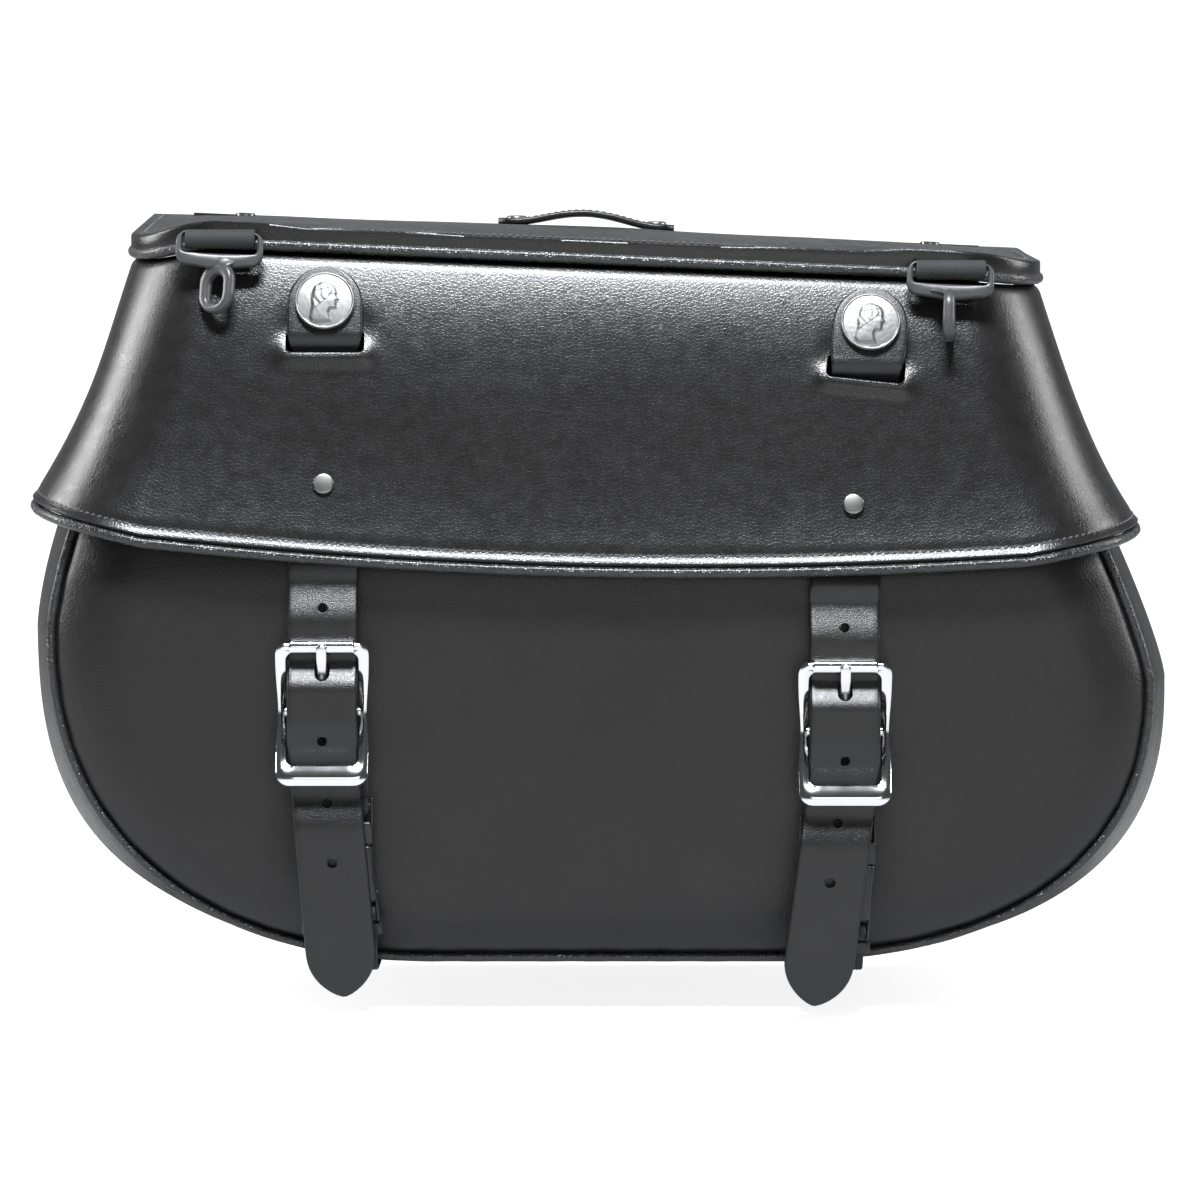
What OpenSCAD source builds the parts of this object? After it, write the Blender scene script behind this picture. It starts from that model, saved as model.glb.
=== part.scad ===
// Leather saddlebag with a hinged flared lid, two buckled straps and two webbing hooks.
// Millimetres. Front faces -Y, back face lies on Y = 0, Z is up.
// The origin is the centre of the four mounting holes on the back face.

/* [Body] */
// Height of the mounting pattern's centre above the base
mount_h = 150; // [140:1:160]
// Height of the mouth above the base, at the middle
mouth_h = 243; // [236:1:245]
// Depth from the back face to the front seam
seam_depth = 136; // [134:1:138]
// How far the padded front panel stands out past its seam
front_bulge = 12; // [8:1:12]
// How far the front leans back from the lid's lower edge to the mouth
front_lean = 30; // [28:1:34]
// Height where the front begins to lean back
lean_h = 140; // [136:1:146]
// Half width at the front seam, left lobe
left_w = 203; // [196:1:203]
// Half width at the front seam, right lobe
right_w = 203; // [195:1:203]
// Half width at the mouth, left
left_mouth_w = 159; // [152:1:160]
// Half width at the mouth, right
right_mouth_w = 143; // [138:1:146]
// Height of the widest line, left lobe
left_belly_h = 121; // [112:1:122]
// Height of the widest line, right lobe
right_belly_h = 103; // [88:1:104]
// Half length of the flat base
base_half = 60; // [50:1:66]
// Outward flare of the gusset behind the front seam
flare = 10; // [8:1:11]
// Rise of the front seam above the base
base_lift = 0; // [0:0.5:4]

/* [Leather] */
// Thickness of the gusset and panels
hide_t = 3; // [2.6:0.1:3.2]
// Radius of the piping cord
piping_r = 2; // [1.6:0.1:2]
// Thickness of the back panel
back_t = 4; // [3.6:0.1:4.2]
// Thickness of the stiffening boards
board_t = 3; // [2.5:0.1:3]

/* [Lid] */
// Height of the lid's top seam above the base, at the middle of the front
lid_h = 257.5; // [256:0.5:260]
// Slope of the top edge down towards the right, in degrees
slope = 2.4; // [2:0.1:2.6]
// Rise of the lid's top towards the hinge
rear_rise = 7; // [5:0.5:8]
// Depth of the lid's top
lid_depth = 126; // [125:1:130]
// Sideways offset of the lid's middle
lid_x = -5.5; // [-6:0.5:-5]
// Half width of the lid's top
lid_top_w = 169; // [168:1:171]
// Half width of the lid's lower edge
lid_low_w = 205; // [204:1:207]
// Shoulder of the lid's front below the seam
lid_shoulder = 10; // [8:1:11]
// Outward flare of the lid's front
lid_flare = 22; // [22:1:24]
// Height of the lid's lower edge above the base, at the middle
lid_low_h = 146; // [145:1:148]
// Corner radius of the lid's top in plan
lid_corner = 34; // [30:1:38]

/* [Straps] */
// Width of the straps and webbing
strap_w = 25.4; // [24:0.1:25.4]
// Thickness of the straps
strap_t = 3.2; // [2.8:0.1:3.2]
// Sideways place of the left strap
left_strap_x = -100.6; // [-104:0.2:-97]
// Sideways place of the right strap's buckle
right_strap_x = 88.4; // [84:0.2:92]
// Drop of the right strap's hardware below the left's
right_drop = 7.2; // [6:0.2:8]
// Sideways lean of the right tab, in degrees
right_lean = 6; // [4:0.5:7]
// Radius of the concho
concho_r = 10.9; // [10:0.1:12]
// Radius of the strap rivet's cap
rivet_r = 3.8; // [3.2:0.1:4.2]
// Radius of the punched holes
punch_r = 1.7; // [1.4:0.1:1.9]

/* [Buckles] */
// Outside width of the buckle frame
frame_w = 34.5; // [34:0.1:36]
// Outside height of the buckle frame
frame_h = 53; // [52:0.5:54]
// Radius of the roller
roller_r = 2.7; // [2.6:0.05:2.8]
// Radius of the bars
bar_r = 1.8; // [1.6:0.05:1.9]
// Running clearance of the roller and tongue
run_gap = 0.08; // [0.05:0.01:0.1]
// Width of the quick-release buckle
clip_w = 28; // [27:0.5:29]
// Thickness of the quick-release buckle
clip_t = 9; // [8:0.5:9]

/* [Mounting] */
// Spacing of the mounting holes across
hole_sx = 200; // [180:5:220]
// Spacing of the mounting holes up
hole_sz = 100; // [80:5:100]
// Radius of the mounting holes
hole_r = 3.3; // [2.7:0.1:4.2]

/* [Hidden] */
n_up = 8;
n_arc = 15;
n_base = 3;
n_side = n_up + n_arc + n_base;
left_round = 2.26;
right_round = 2.37;
left_taper = 1.4;
right_taper = 1.25;
seam_gap = 0.35;
web_t = 1.6;
leather = [0.17, 0.165, 0.165];
trim = [0.13, 0.13, 0.13];
board = [0.1, 0.1, 0.1];
webbing = [0.08, 0.08, 0.085];
plastic = [0.12, 0.12, 0.125];
hook_grey = [0.3, 0.3, 0.31];
nickel = [0.74, 0.74, 0.72];
chrome = [0.85, 0.86, 0.87];

// Shared helpers
function mix(a, b, t) = a + (b - a) * t;
function ease(t) = let (c = max(0, min(1, t))) c * c * (3 - 2 * c);
function unit(v) = v / norm(v);
function flat(rows) = [for (r = rows) for (p = r) p];

// Closed skin over two grids of the same size, the outer one and the inner one
function sheet_faces(nr, nc) =
  let (k = nr * nc, at = function(g, r, c) g * k + r * nc + c)
  concat(
    [for (r = [0:nr - 2], c = [0:nc - 2]) each [
      [at(0, r, c), at(0, r, c + 1), at(0, r + 1, c + 1)],
      [at(0, r, c), at(0, r + 1, c + 1), at(0, r + 1, c)],
      [at(1, r, c), at(1, r + 1, c + 1), at(1, r, c + 1)],
      [at(1, r, c), at(1, r + 1, c), at(1, r + 1, c + 1)]]],
    [for (c = [0:nc - 2]) each [
      [at(0, 0, c), at(1, 0, c), at(1, 0, c + 1)],
      [at(0, 0, c), at(1, 0, c + 1), at(0, 0, c + 1)],
      [at(0, nr - 1, c), at(1, nr - 1, c + 1), at(1, nr - 1, c)],
      [at(0, nr - 1, c), at(0, nr - 1, c + 1), at(1, nr - 1, c + 1)]]],
    [for (r = [0:nr - 2]) each [
      [at(0, r, 0), at(1, r + 1, 0), at(1, r, 0)],
      [at(0, r, 0), at(0, r + 1, 0), at(1, r + 1, 0)],
      [at(0, r, nc - 1), at(1, r, nc - 1), at(1, r + 1, nc - 1)],
      [at(0, r, nc - 1), at(1, r + 1, nc - 1), at(0, r + 1, nc - 1)]]]);

module sheet(outer, inner) {
  polyhedron(points = concat(flat(outer), flat(inner)), faces = sheet_faces(len(outer), len(outer[0])));
}

// Solid through a row of closed rings of points
module loft(rings) {
  m = len(rings[0]);
  last = (len(rings) - 1) * m;
  polyhedron(points = flat(rings), faces = concat(
    [[for (k = [0:m - 1]) k]], [[for (k = [m - 1:-1:0]) last + k]],
    [for (r = [0:len(rings) - 2], k = [0:m - 1]) each let (a = r * m + k, b = r * m + (k + 1) % m)
      [[a, a + m, b + m], [a, b + m, b]]]));
}

// Cord of radius r along a path, with up never along the path
module cord(path, r, up, sides = 8) {
  n = len(path);
  loft([for (i = [0:n - 1])
    let (t = unit(path[min(n - 1, i + 1)] - path[max(0, i - 1)]), s = unit(cross(up, t)), u = cross(t, s))
    [for (k = [0:sides - 1]) path[i] - r * (cos(360 * k / sides) * s - sin(360 * k / sides) * u)]]);
}

// Strip along a path [x, y, z, width], its width across and its thickness towards the front
module ribbon(path, t) {
  n = len(path);
  loft([for (i = [0:n - 1])
    let (
      p = path[i], a = path[max(0, i - 1)], b = path[min(n - 1, i + 1)],
      d = unit([b.x - a.x, b.y - a.y, b.z - a.z]),
      w = unit([1, 0, 0] - d.x * d), q = cross(d, w) * t / 2, h = w * p[3] / 2, c = [p.x, p.y, p.z])
    [c - h - q, c - h + q, c + h + q, c + h - q]]);
}

// Outline of a strip of thickness t along a path in two dimensions
function band(path, t) = let (n = len(path), q = [for (i = [0:n - 1])
  let (d = unit(path[min(n - 1, i + 1)] - path[max(0, i - 1)])) t / 2 * [-d.y, d.x]])
  concat([for (i = [0:n - 1]) path[i] + q[i]], [for (i = [n - 1:-1:0]) path[i] - q[i]]);

module down(h = mount_h) { translate([0, 0, -h]) children(); }

// Body outline
function body_top(x) = mouth_h - x * tan(slope);
function seam_y(z) = -(seam_depth - front_lean * pow(max(0, (z - lean_h) / (mouth_h - lean_h)), 1.3));
function side_pt(right, e, i) =
  let (
    w = (right ? right_w : left_w) + flare * e,
    wt = (right ? right_mouth_w : left_mouth_w) + flare * e,
    zw = right ? right_belly_h : left_belly_h,
    zb = base_lift * (1 - e),
    zm = body_top(right ? wt : -wt),
    n = (right ? right_round : left_round) + 0.4 * e,
    p = right ? right_taper : left_taper)
  i <= n_up ? let (t = 1 - i / n_up) [wt + (w - wt) * (1 - pow(t, p)), mix(zw, zm, t)]
  : i <= n_up + n_arc ? let (a = 90 * (i - n_up) / n_arc)
    [base_half + (w - base_half) * pow(cos(a), 2 / n), mix(zw, zb, pow(sin(a), 2 / n))]
  : [base_half * (1 - (i - n_up - n_arc) / n_base), zb];
function outline(e) = concat(
  [for (i = [0:n_side]) let (p = side_pt(false, e, i)) [-p.x, p.y]],
  [for (i = [n_side - 1:-1:0]) side_pt(true, e, i)]);
function inset(path, d) = let (n = len(path)) [for (i = [0:n - 1])
  let (t = unit(path[min(n - 1, i + 1)] - path[max(0, i - 1)])) path[i] + d * [-t.y, t.x]];

// Lid surfaces: p runs 0 to 1 round the plan from the rear left to the rear right, v down the skirt
function lid_z(x, y) =
  lid_h - x * tan(slope) + rear_rise * (1 + y / lid_depth)
  - (7 * ease((-x - 140) / 36) + 1.5 * ease((x - 128) / 36)) * max(0, -y / lid_depth);
function skirt_front(v) =
  lid_depth + lid_shoulder * (1 - pow(1 - v, 4)) + lid_flare * (0.6 * v + 0.4 * pow(v, 3));
function skirt_half(v) = mix(lid_top_w, lid_low_w, 0.75 * v + 0.25 * pow(v, 3));
lid_rear = 9;
n_flank = 7;
n_corner = 8;
n_front = 14;
n_plan = 2 * (n_flank + n_corner) + n_front;
// Plan position at step i, with half width w, front y f and corner radius r
function plan_pt(i, w, f, r) =
  i > n_plan / 2 ? let (q = plan_pt(n_plan - i, w, f, r)) [2 * lid_x - q.x, q.y, q.z]
  : i <= n_flank ? [lid_x - w, -mix(lid_rear, f - r, i / n_flank), 0]
  : i <= n_flank + n_corner ? let (a = 90 * (i - n_flank) / n_corner)
    [lid_x - w + r * (1 - cos(a)), -(f - r + r * sin(a)), a / 90]
  : [lid_x + (w - r) * (2 * (i - n_flank - n_corner) / n_front - 1), -f, 1];
function low_z(x, turn) =
  lid_low_h + 6.2 * pow(x / 150, 2) - 0.0185 * x + 8 * (1 - turn);
function skirt_pt(i, v, thick) =
  let (
    r = lid_corner + 10 * v,
    p = plan_pt(i, skirt_half(v) - thick, skirt_front(v) - thick, r - thick),
    z0 = lid_z(p.x, p.y) - piping_r - seam_gap)
  [p.x, p.y, mix(z0, low_z(p.x, p.z), v)];
function skirt_y(z, x) =
  let (z0 = lid_z(x, -lid_depth) - piping_r - seam_gap) -skirt_front((z0 - z) / (z0 - low_z(x, 1)));

// Strap layout, as heights and depths on the left strap
concho_h = 240.6;
rivet_h = 175.6;
tab_w = 27.6;
tab_top_h = concho_h + tab_w / 2;
slot_h = 220.5;
slot_size = 11;
pivot_h = 143.5;
pivot_y = -151.8;
roller_h = 117.2;
roller_y = -162.8;
centre_bar_h = 93.3;
centre_bar_y = -157.4;
bottom_bar_h = 70.4;
bottom_bar_y = -166.3;
rail_y = -158.6;
rail_w = 3.4;
roller_w = 23.6;
tongue_w = 4;
clip_shift = [4.2, -2.4];
clip_join_h = 44.8;
clip_y = -155.5;
plug_bar_h = 58.5;
socket_bar_h = 20.5;
clip_bar_r = 1.7;
web_gap = 0.25;
tip_h = [-9.6, -5.7];
tail_lean = [0.089, -0.132];
hook_x = [-139, 128];
hook_tilt = 15;
hook_turn = [-35, 84];
hook_out = [0, 4.4];

function strap_x(s) = s == 0 ? left_strap_x : right_strap_x;
function turned(s) = s * right_lean;
function skirt_at(s, z) = skirt_y(
  pivot_h + (z - pivot_h) * cos(turned(s)) - s * right_drop, strap_x(s) + (z - pivot_h) * sin(turned(s)));
function skirt_tilt(s, z) = atan((skirt_at(s, z + 3) - skirt_at(s, z - 3)) / 6);
function tab_y(s, z) = skirt_at(s, z)
  + mix(-0.7 - strap_t / 2, hide_t + 0.8 + strap_t / 2, ease((slot_h + 6 - z) / 12))
  + 1.6 * ease((162 - z) / 10);
function strap_y(z) = pivot_y
  - 6.4 * ease((pivot_h - z) / 20) - 5.6 * ease((roller_h - 4.6 - z) / 12)
  + 3.2 * ease((centre_bar_h - 3.3 - z) / 14) - 3.2 * ease((bottom_bar_h - 6.4 - z) / 14)
  + 1.5 * ease((20 - z) / 30);

// Places on the strap line: the tab leans on the right side, the buckle hangs straight
module hang_place(s) { translate([strap_x(s), 0, -s * right_drop]) children(); }
module clip_place(s) { hang_place(s) translate([clip_shift[s], 0, 0]) children(); }
module tab_place(s) {
  hang_place(s) translate([0, 0, pivot_h]) rotate([0, turned(s), 0]) translate([0, 0, -pivot_h]) children();
}
module tab_axis(s, z) {
  tab_place(s) translate([0, skirt_at(s, z), z]) rotate([90 - skirt_tilt(s, z), 0, 0]) children();
}
module side_extrude(w) { translate([-w / 2, 0, 0]) rotate([90, 0, 90]) linear_extrude(w) children(); }
module front_extrude(t) { translate([0, t / 2, 0]) rotate([90, 0, 0]) linear_extrude(t) children(); }
module bar(y, z, r, w) { translate([-w / 2, y, z]) rotate([0, 90, 0]) cylinder(h = w, r = r, $fn = 24); }
module tube(y, z, r_in, r_out, w) {
  translate([-w / 2, y, z]) rotate([0, 90, 0]) difference() {
    cylinder(h = w, r = r_out, $fn = 28);
    translate([0, 0, -1]) cylinder(h = w + 2, r = r_in, $fn = 28);
  }
}
module round_rect(w, h, r) {
  translate([-w / 2 + r, -h / 2]) square([w - 2 * r, h]);
  translate([-w / 2, -h / 2 + r]) square([w, h - 2 * r]);
  for (x = [-1, 1], z = [-1, 1]) translate([x * (w / 2 - r), z * (h / 2 - r)]) circle(r, $fn = 32);
}
module rivet(cap_r, cap_h, shank_r, shank_l) {
  rotate_extrude($fn = 24) polygon([
    [0, cap_h], [cap_r - 0.5, cap_h], [cap_r, cap_h - 0.5], [cap_r, 0],
    [shank_r, 0], [shank_r, -shank_l], [cap_r - 0.6, -shank_l], [cap_r - 0.6, -shank_l - 0.8],
    [0, -shank_l - 0.8]]);
}

// Body
module back_shape(shrink) {
  top = lid_z(0, 0) - 3.2;
  pts = inset(outline(1), shrink);
  polygon(concat([for (p = pts) [p.x, p.y]], [
    [pts[len(pts) - 1].x - 3, top - (pts[len(pts) - 1].x - 3) * tan(slope)],
    [pts[0].x + 3, top - (pts[0].x + 3) * tan(slope)]]));
}
module mounting_holes(r) {
  for (x = [-1, 1], z = [-1, 1]) translate([x * hole_sx / 2, 0, mount_h + z * hole_sz / 2])
    rotate([90, 0, 0]) translate([0, 0, -1]) cylinder(h = 20, r = r, $fn = 32);
}
grommet_r = 5;
flange_r = 8;
module back_panel() color(leather) down() difference() {
  rotate([90, 0, 0]) linear_extrude(back_t) back_shape(2 * piping_r + 0.2);
  mounting_holes(grommet_r + 0.1);
  for (x = [-1, 1], z = [-1, 1]) translate([x * hole_sx / 2, 1, mount_h + z * hole_sz / 2])
    rotate([90, 0, 0]) cylinder(h = 2, r = flange_r + 0.1, $fn = 32);
}
module back_stiffener() color(board) down() difference() {
  translate([0, -back_t - 0.2, 0]) rotate([90, 0, 0]) linear_extrude(board_t)
    polygon([for (p = inset(outline(1), 9)) p]);
  mounting_holes(grommet_r + 0.1);
}
module mounting_grommets() color(nickel) down()
  for (x = [-1, 1], z = [-1, 1]) translate([x * hole_sx / 2, 0, mount_h + z * hole_sz / 2])
    rotate([90, 0, 0]) rotate_extrude($fn = 28) let (l = back_t + board_t + 1.3) polygon([
      [hole_r, 0], [flange_r, 0], [flange_r, 0.9], [grommet_r, 0.9], [grommet_r, l - 0.9],
      [flange_r, l - 0.9], [flange_r, l], [hole_r, l]]);

depth_steps = [0, 0.06, 0.14, 0.24, 0.36, 0.55, 0.78, 1];
module gusset() color(leather) down() {
  rows = [for (t = depth_steps) let (e = sin(90 * min(1, t / 0.5)), o = outline(e), q = inset(o, hide_t))
    [for (k = [0:len(o) - 1])
      let (y = mix(seam_y(o[k].y) + piping_r + seam_gap, -back_t - piping_r - seam_gap, t))
      [[o[k].x, y, o[k].y], [q[k].x, y, q[k].y]]]];
  sheet([for (r = rows) [for (p = r) p[0]]], [for (r = rows) [for (p = r) p[1]]]);
}
module front_piping() color(trim) down()
  cord([for (p = inset(outline(0), piping_r + 0.2)) [p.x, seam_y(p.y), p.y]], piping_r, [0, -1, 0]);
module back_piping() color(trim) down()
  cord([for (p = inset(outline(1), piping_r)) [p.x, -back_t, p.y]], piping_r - 0.2, [0, -1, 0]);

module front_panel() color(leather) down() {
  edge = inset(outline(0), 2 * piping_r + 0.7);
  a = edge[len(edge) - 1];
  b = edge[0];
  ring = concat(edge, [for (i = [1:9]) [mix(a.x, b.x, i / 10), mix(a.y, b.y, i / 10)]]);
  scales = [1, 0.975, 0.94, 0.89, 0.82, 0.7, 0.5, 0.25];
  mid = [0, lean_h - 25];
  outer = [for (k = scales) [for (p = ring) let (q = mid + k * (p - mid))
    [q.x, seam_y(q.y) - front_bulge * (1 - pow(k, 6)), q.y]]];
  nr = len(scales);
  nc = len(ring);
  inner = [for (r = [0:nr - 1]) [for (p = outer[r]) p + [0, hide_t, 0]]];
  k = nr * nc;
  polyhedron(points = concat(flat(outer), flat(inner)), faces = concat(
    [[for (c = [0:nc - 1]) (nr - 1) * nc + nc - 1 - c]], [[for (c = [0:nc - 1]) k + (nr - 1) * nc + c]],
    [for (r = [0:nr - 2], c = [0:nc - 1]) each let (a = r * nc + c, b = r * nc + (c + 1) % nc) [
      [a, a + nc, b + nc], [a, b + nc, b], [k + a, k + b + nc, k + a + nc], [k + a, k + b, k + b + nc]]],
    [for (c = [0:nc - 1]) each let (a = c, b = (c + 1) % nc) [[a, b, k + b], [a, k + b, k + a]]]));
}
module base_board() color(board) down()
  translate([-base_half - 10, -seam_depth + 36, hide_t + 2.4])
    cube([2 * base_half + 20, seam_depth - 50, board_t]);
module mouth_binding() color(trim) down() {
  o = outline(1);
  l = inset(o, hide_t / 2)[0];
  r = inset(o, hide_t / 2)[len(o) - 1];
  y0 = -back_t - 4;
  y1 = seam_y(mouth_h) + 12;
  for (p = [l, r]) cord([for (t = [0:0.25:1]) [p.x, mix(y0, y1, t), p.y + 2.6]], piping_r - 0.2, [0, 0, 1]);
}
module hinge_strip() color(leather) down() {
  w = 2 * (lid_top_w - 16);
  h = 15;
  translate([lid_x, -back_t - 0.3, lid_z(lid_x, 0) - 5]) rotate([0, slope, 0])
    translate([-w / 2, -1.8, -h]) cube([w, 1.8, h]);
}

// Lid
band_h = 4.6;
crown = 2.5;
function lid_top_z(x, y) = lid_z(x, y) + piping_r + seam_gap + band_h
  + crown * sin(180 * max(0, min(1, -y / lid_depth))) * (1 - pow(abs(x - lid_x) / lid_top_w, 4));
module lid_cap(z_off, t, trim_in, n, m) {
  y0 = -3;
  rc = lid_corner - trim_in;
  y1 = -lid_depth - 0.8 + trim_in;
  ys = concat([for (i = [0:3]) mix(y0, y1 + rc, i / 4)], [for (i = [0:n]) y1 + rc - rc * sin(90 * i / n)]);
  grid = [for (y = ys) [for (c = [0:m])
    let (
      k = max(0, (y1 + rc - y) / rc), w = lid_top_w + 0.8 - trim_in - rc * (1 - sqrt(max(0.0004, 1 - k * k))),
      x = lid_x + w * (2 * c / m - 1))
    [x, y, lid_top_z(x, y) + z_off]]];
  sheet(grid, [for (r = grid) [for (p = r) p - [0, 0, t]]]);
}
module lid_top() color(leather) down() lid_cap(0, band_h - 2, 0, 8, 20);
module lid_board() color(board) down() lid_cap(-band_h + 1.5, 1.6, 5.5, 5, 12);
module lid_skirt() color(leather) down() difference() {
  vs = [0, 0.08, 0.17, 0.3, 0.46, 0.64, 0.82, 1];
  sheet(
    [for (v = vs) [for (i = [0:n_plan]) skirt_pt(i, v, 0)]],
    [for (v = vs) [for (i = [0:n_plan]) skirt_pt(i, v, hide_t)]]);
  for (s = [0, 1]) {
    tab_place(s) translate([-strap_w / 2 - 1.2, -160, slot_h - slot_size / 2])
      cube([strap_w + 2.4, 40, slot_size]);
    tab_axis(s, concho_h) translate([0, 0, -8]) cylinder(h = 16, r = 1.9, $fn = 24);
    tab_axis(s, rivet_h) translate([0, 0, -8]) cylinder(h = 16, r = 1.9, $fn = 24);
  }
}
module lid_top_piping() color(trim) down()
  cord([for (i = [0:n_plan]) let (p = plan_pt(i, lid_top_w, lid_depth, lid_corner))
    [p.x, p.y, lid_z(p.x, p.y)]], piping_r, [0, 0, 1]);
module lid_edge_piping() color(trim) down()
  cord([for (i = [0:n_plan]) let (p = skirt_pt(i, 1, hide_t / 2)) p - [0, 0, piping_r + seam_gap]],
    piping_r, [0, 0, 1]);

handle_half = 27;
handle_y = -26;
module carry_handle() color(leather) down() difference() {
  translate([lid_x, handle_y, lid_top_z(lid_x, handle_y) + 1.4]) rotate([0, slope, 0]) rotate([0, 0, 90])
    ribbon([for (i = [-8:8]) let (u = i / 8)
      [0, -u * (handle_half + 7), 4.2 * pow(max(0, 1 - u * u * 1.5), 2), 20]], 2.2);
  handle_bolts() translate([0, 0, -12]) cylinder(h = 30, r = 2, $fn = 24);
}
module handle_bolts() {
  for (k = [-1, 1]) translate([lid_x, handle_y, lid_top_z(lid_x, handle_y) + 1.4]) rotate([0, slope, 0])
    translate([k * handle_half, 0, 0]) children();
}
module handle_rivets() color(nickel) down()
  handle_bolts() translate([0, 0, 1.6]) cylinder(h = 1.2, r = 4, $fn = 28);

// Straps and their hardware
module strap_tab(s) {
  down() difference() {
    tab_place(s) ribbon([for (z = concat(
        [for (a = [14, 30, 48, 66, 90]) concho_h + tab_w / 2 * cos(a)], [236, 231, 227],
        [for (i = [1:6]) slot_h + 6 - 2 * i], [for (i = [1:8]) mix(slot_h - 6, pivot_h + 1 + 2 * s, i / 8)]))
      let (w = z > concho_h ? 2 * sqrt(pow(tab_w / 2, 2) - pow(z - concho_h, 2))
        : mix(tab_w, strap_w, ease((236 - z) / 8)))
      [0, tab_y(s, z), z, w]], strap_t);
    tab_axis(s, concho_h) translate([0, 0, -8]) cylinder(h = 16, r = 1.9, $fn = 24);
    tab_axis(s, rivet_h) translate([0, 0, -12]) cylinder(h = 16, r = 1.9, $fn = 24);
  }
}
module strap(s) {
  top = pivot_h - 3;
  n = 34;
  down() hang_place(s) difference() {
    ribbon([for (i = [0:n])
      let (z = mix(top, tip_h[s], i / n), t = min(1, (z - tip_h[s]) / 18), x = tail_lean[s] * max(0, 80 - z))
      [x, strap_y(z), z, strap_w * (0.14 + 0.86 * (1 - pow(1 - t, 2.1)))]], strap_t);
    for (z = [131, 83, 60.5, 39])
      translate([tail_lean[s] * max(0, 80 - z), -140, z]) rotate([90, 0, 0])
        cylinder(h = 40, r = punch_r, $fn = 24);
    translate([-tongue_w / 2 - 0.8, -180, centre_bar_h + 0.6]) cube([tongue_w + 1.6, 40, 18.6]);
  }
}
module concho(s) down() tab_axis(s, concho_h) translate([0, 0, strap_t + 1.1]) difference() {
  rotate_extrude($fn = 48) polygon(concat([[0, 0], [concho_r - 0.6, 0], [concho_r, 0.5], [concho_r, 1.3]],
    [for (i = [0:4]) [(concho_r - 0.7) * (1 - i / 4), 1.7 + 0.9 * (1 - pow(1 - i / 4, 2))]]));
  translate([0, 0, -1]) cylinder(h = 1.9, r = 1.6, $fn = 24);
}
module concho_screw(s) down() tab_axis(s, concho_h) {
  translate([0, 0, -hide_t - 1.6]) cylinder(h = strap_t + hide_t + 3.4, r = 1.5, $fn = 32);
  translate([0, 0, -hide_t - 1.6]) cylinder(h = 1.2, r = 4, $fn = 32);
}
module strap_rivet(s) down() tab_axis(s, rivet_h)
  translate([0, 0, 0.4]) rivet(rivet_r, 1.3, 1.5, hide_t + strap_t + 1.8);

function rail_line(z) = z > centre_bar_h
  ? mix(rail_y, roller_y, pow((z - centre_bar_h) / (roller_h - centre_bar_h), 1.6))
  : mix(rail_y, bottom_bar_y, pow((centre_bar_h - z) / (centre_bar_h - bottom_bar_h), 1.6));
module buckle_frame(s) {
  frame_mid = roller_h + 2.6 - frame_h / 2;
  zs = [for (i = [0:14]) frame_mid + frame_h * (i / 14 - 0.5)];
  down() hang_place(s) {
    intersection() {
      translate([0, rail_y, 0]) front_extrude(30) difference() {
        translate([0, frame_mid]) round_rect(frame_w, frame_h, 5.5);
        translate([0, mix(bottom_bar_h + 3.4, roller_h - 3.4, 0.5)])
          round_rect(frame_w - 2 * rail_w, roller_h - bottom_bar_h - 6.8, 2.5);
        translate([-roller_w / 2 - 0.25, roller_h - 4]) square([roller_w + 0.5, 12]);
      }
      side_extrude(frame_w + 4) polygon(concat(
        [for (z = zs) [rail_line(z) - 1.8, z]], [for (i = [14:-1:0]) [rail_line(zs[i]) + 1.8, zs[i]]]));
    }
    bar(centre_bar_y, centre_bar_h, bar_r, frame_w - 2 * rail_w + 3);
    bar(roller_y, roller_h, bar_r, frame_w - 2 * rail_w + 1);
  }
}
module buckle_roller(s) down() hang_place(s) tube(roller_y, roller_h, bar_r + run_gap, roller_r, roller_w);
module buckle_tongue(s) down() hang_place(s) difference() {
  union() {
    tube(centre_bar_y, centre_bar_h, bar_r + run_gap, bar_r + 1.6, tongue_w);
    side_extrude(tongue_w) polygon([
      [centre_bar_y - 2.6, centre_bar_h - 0.6], [centre_bar_y - 2.2, centre_bar_h + 2.4],
      [roller_y - 2.3, roller_h - 4], [roller_y - roller_r - 0.3, roller_h - 1],
      [roller_y - roller_r - 0.3, roller_h + 0.8],
      [roller_y - roller_r - 1.2, roller_h + 1.6], [roller_y - roller_r - 2.2, roller_h - 0.2],
      [roller_y - 4.2, roller_h - 5], [centre_bar_y - 3.4, centre_bar_h + 0.4]]);
  }
  bar(centre_bar_y, centre_bar_h, bar_r + run_gap, tongue_w + 2);
}
// Webbing of a given path that ends in a loop round a bar of radius r at the path's first point
module looped_web(y, z, r, path) {
  side_extrude(strap_w) difference() {
    union() {
      translate([y, z]) circle(r + web_gap + web_t, $fn = 32);
      polygon(band(path, web_t));
    }
    translate([y, z]) circle(r + web_gap, $fn = 32);
  }
}
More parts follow.
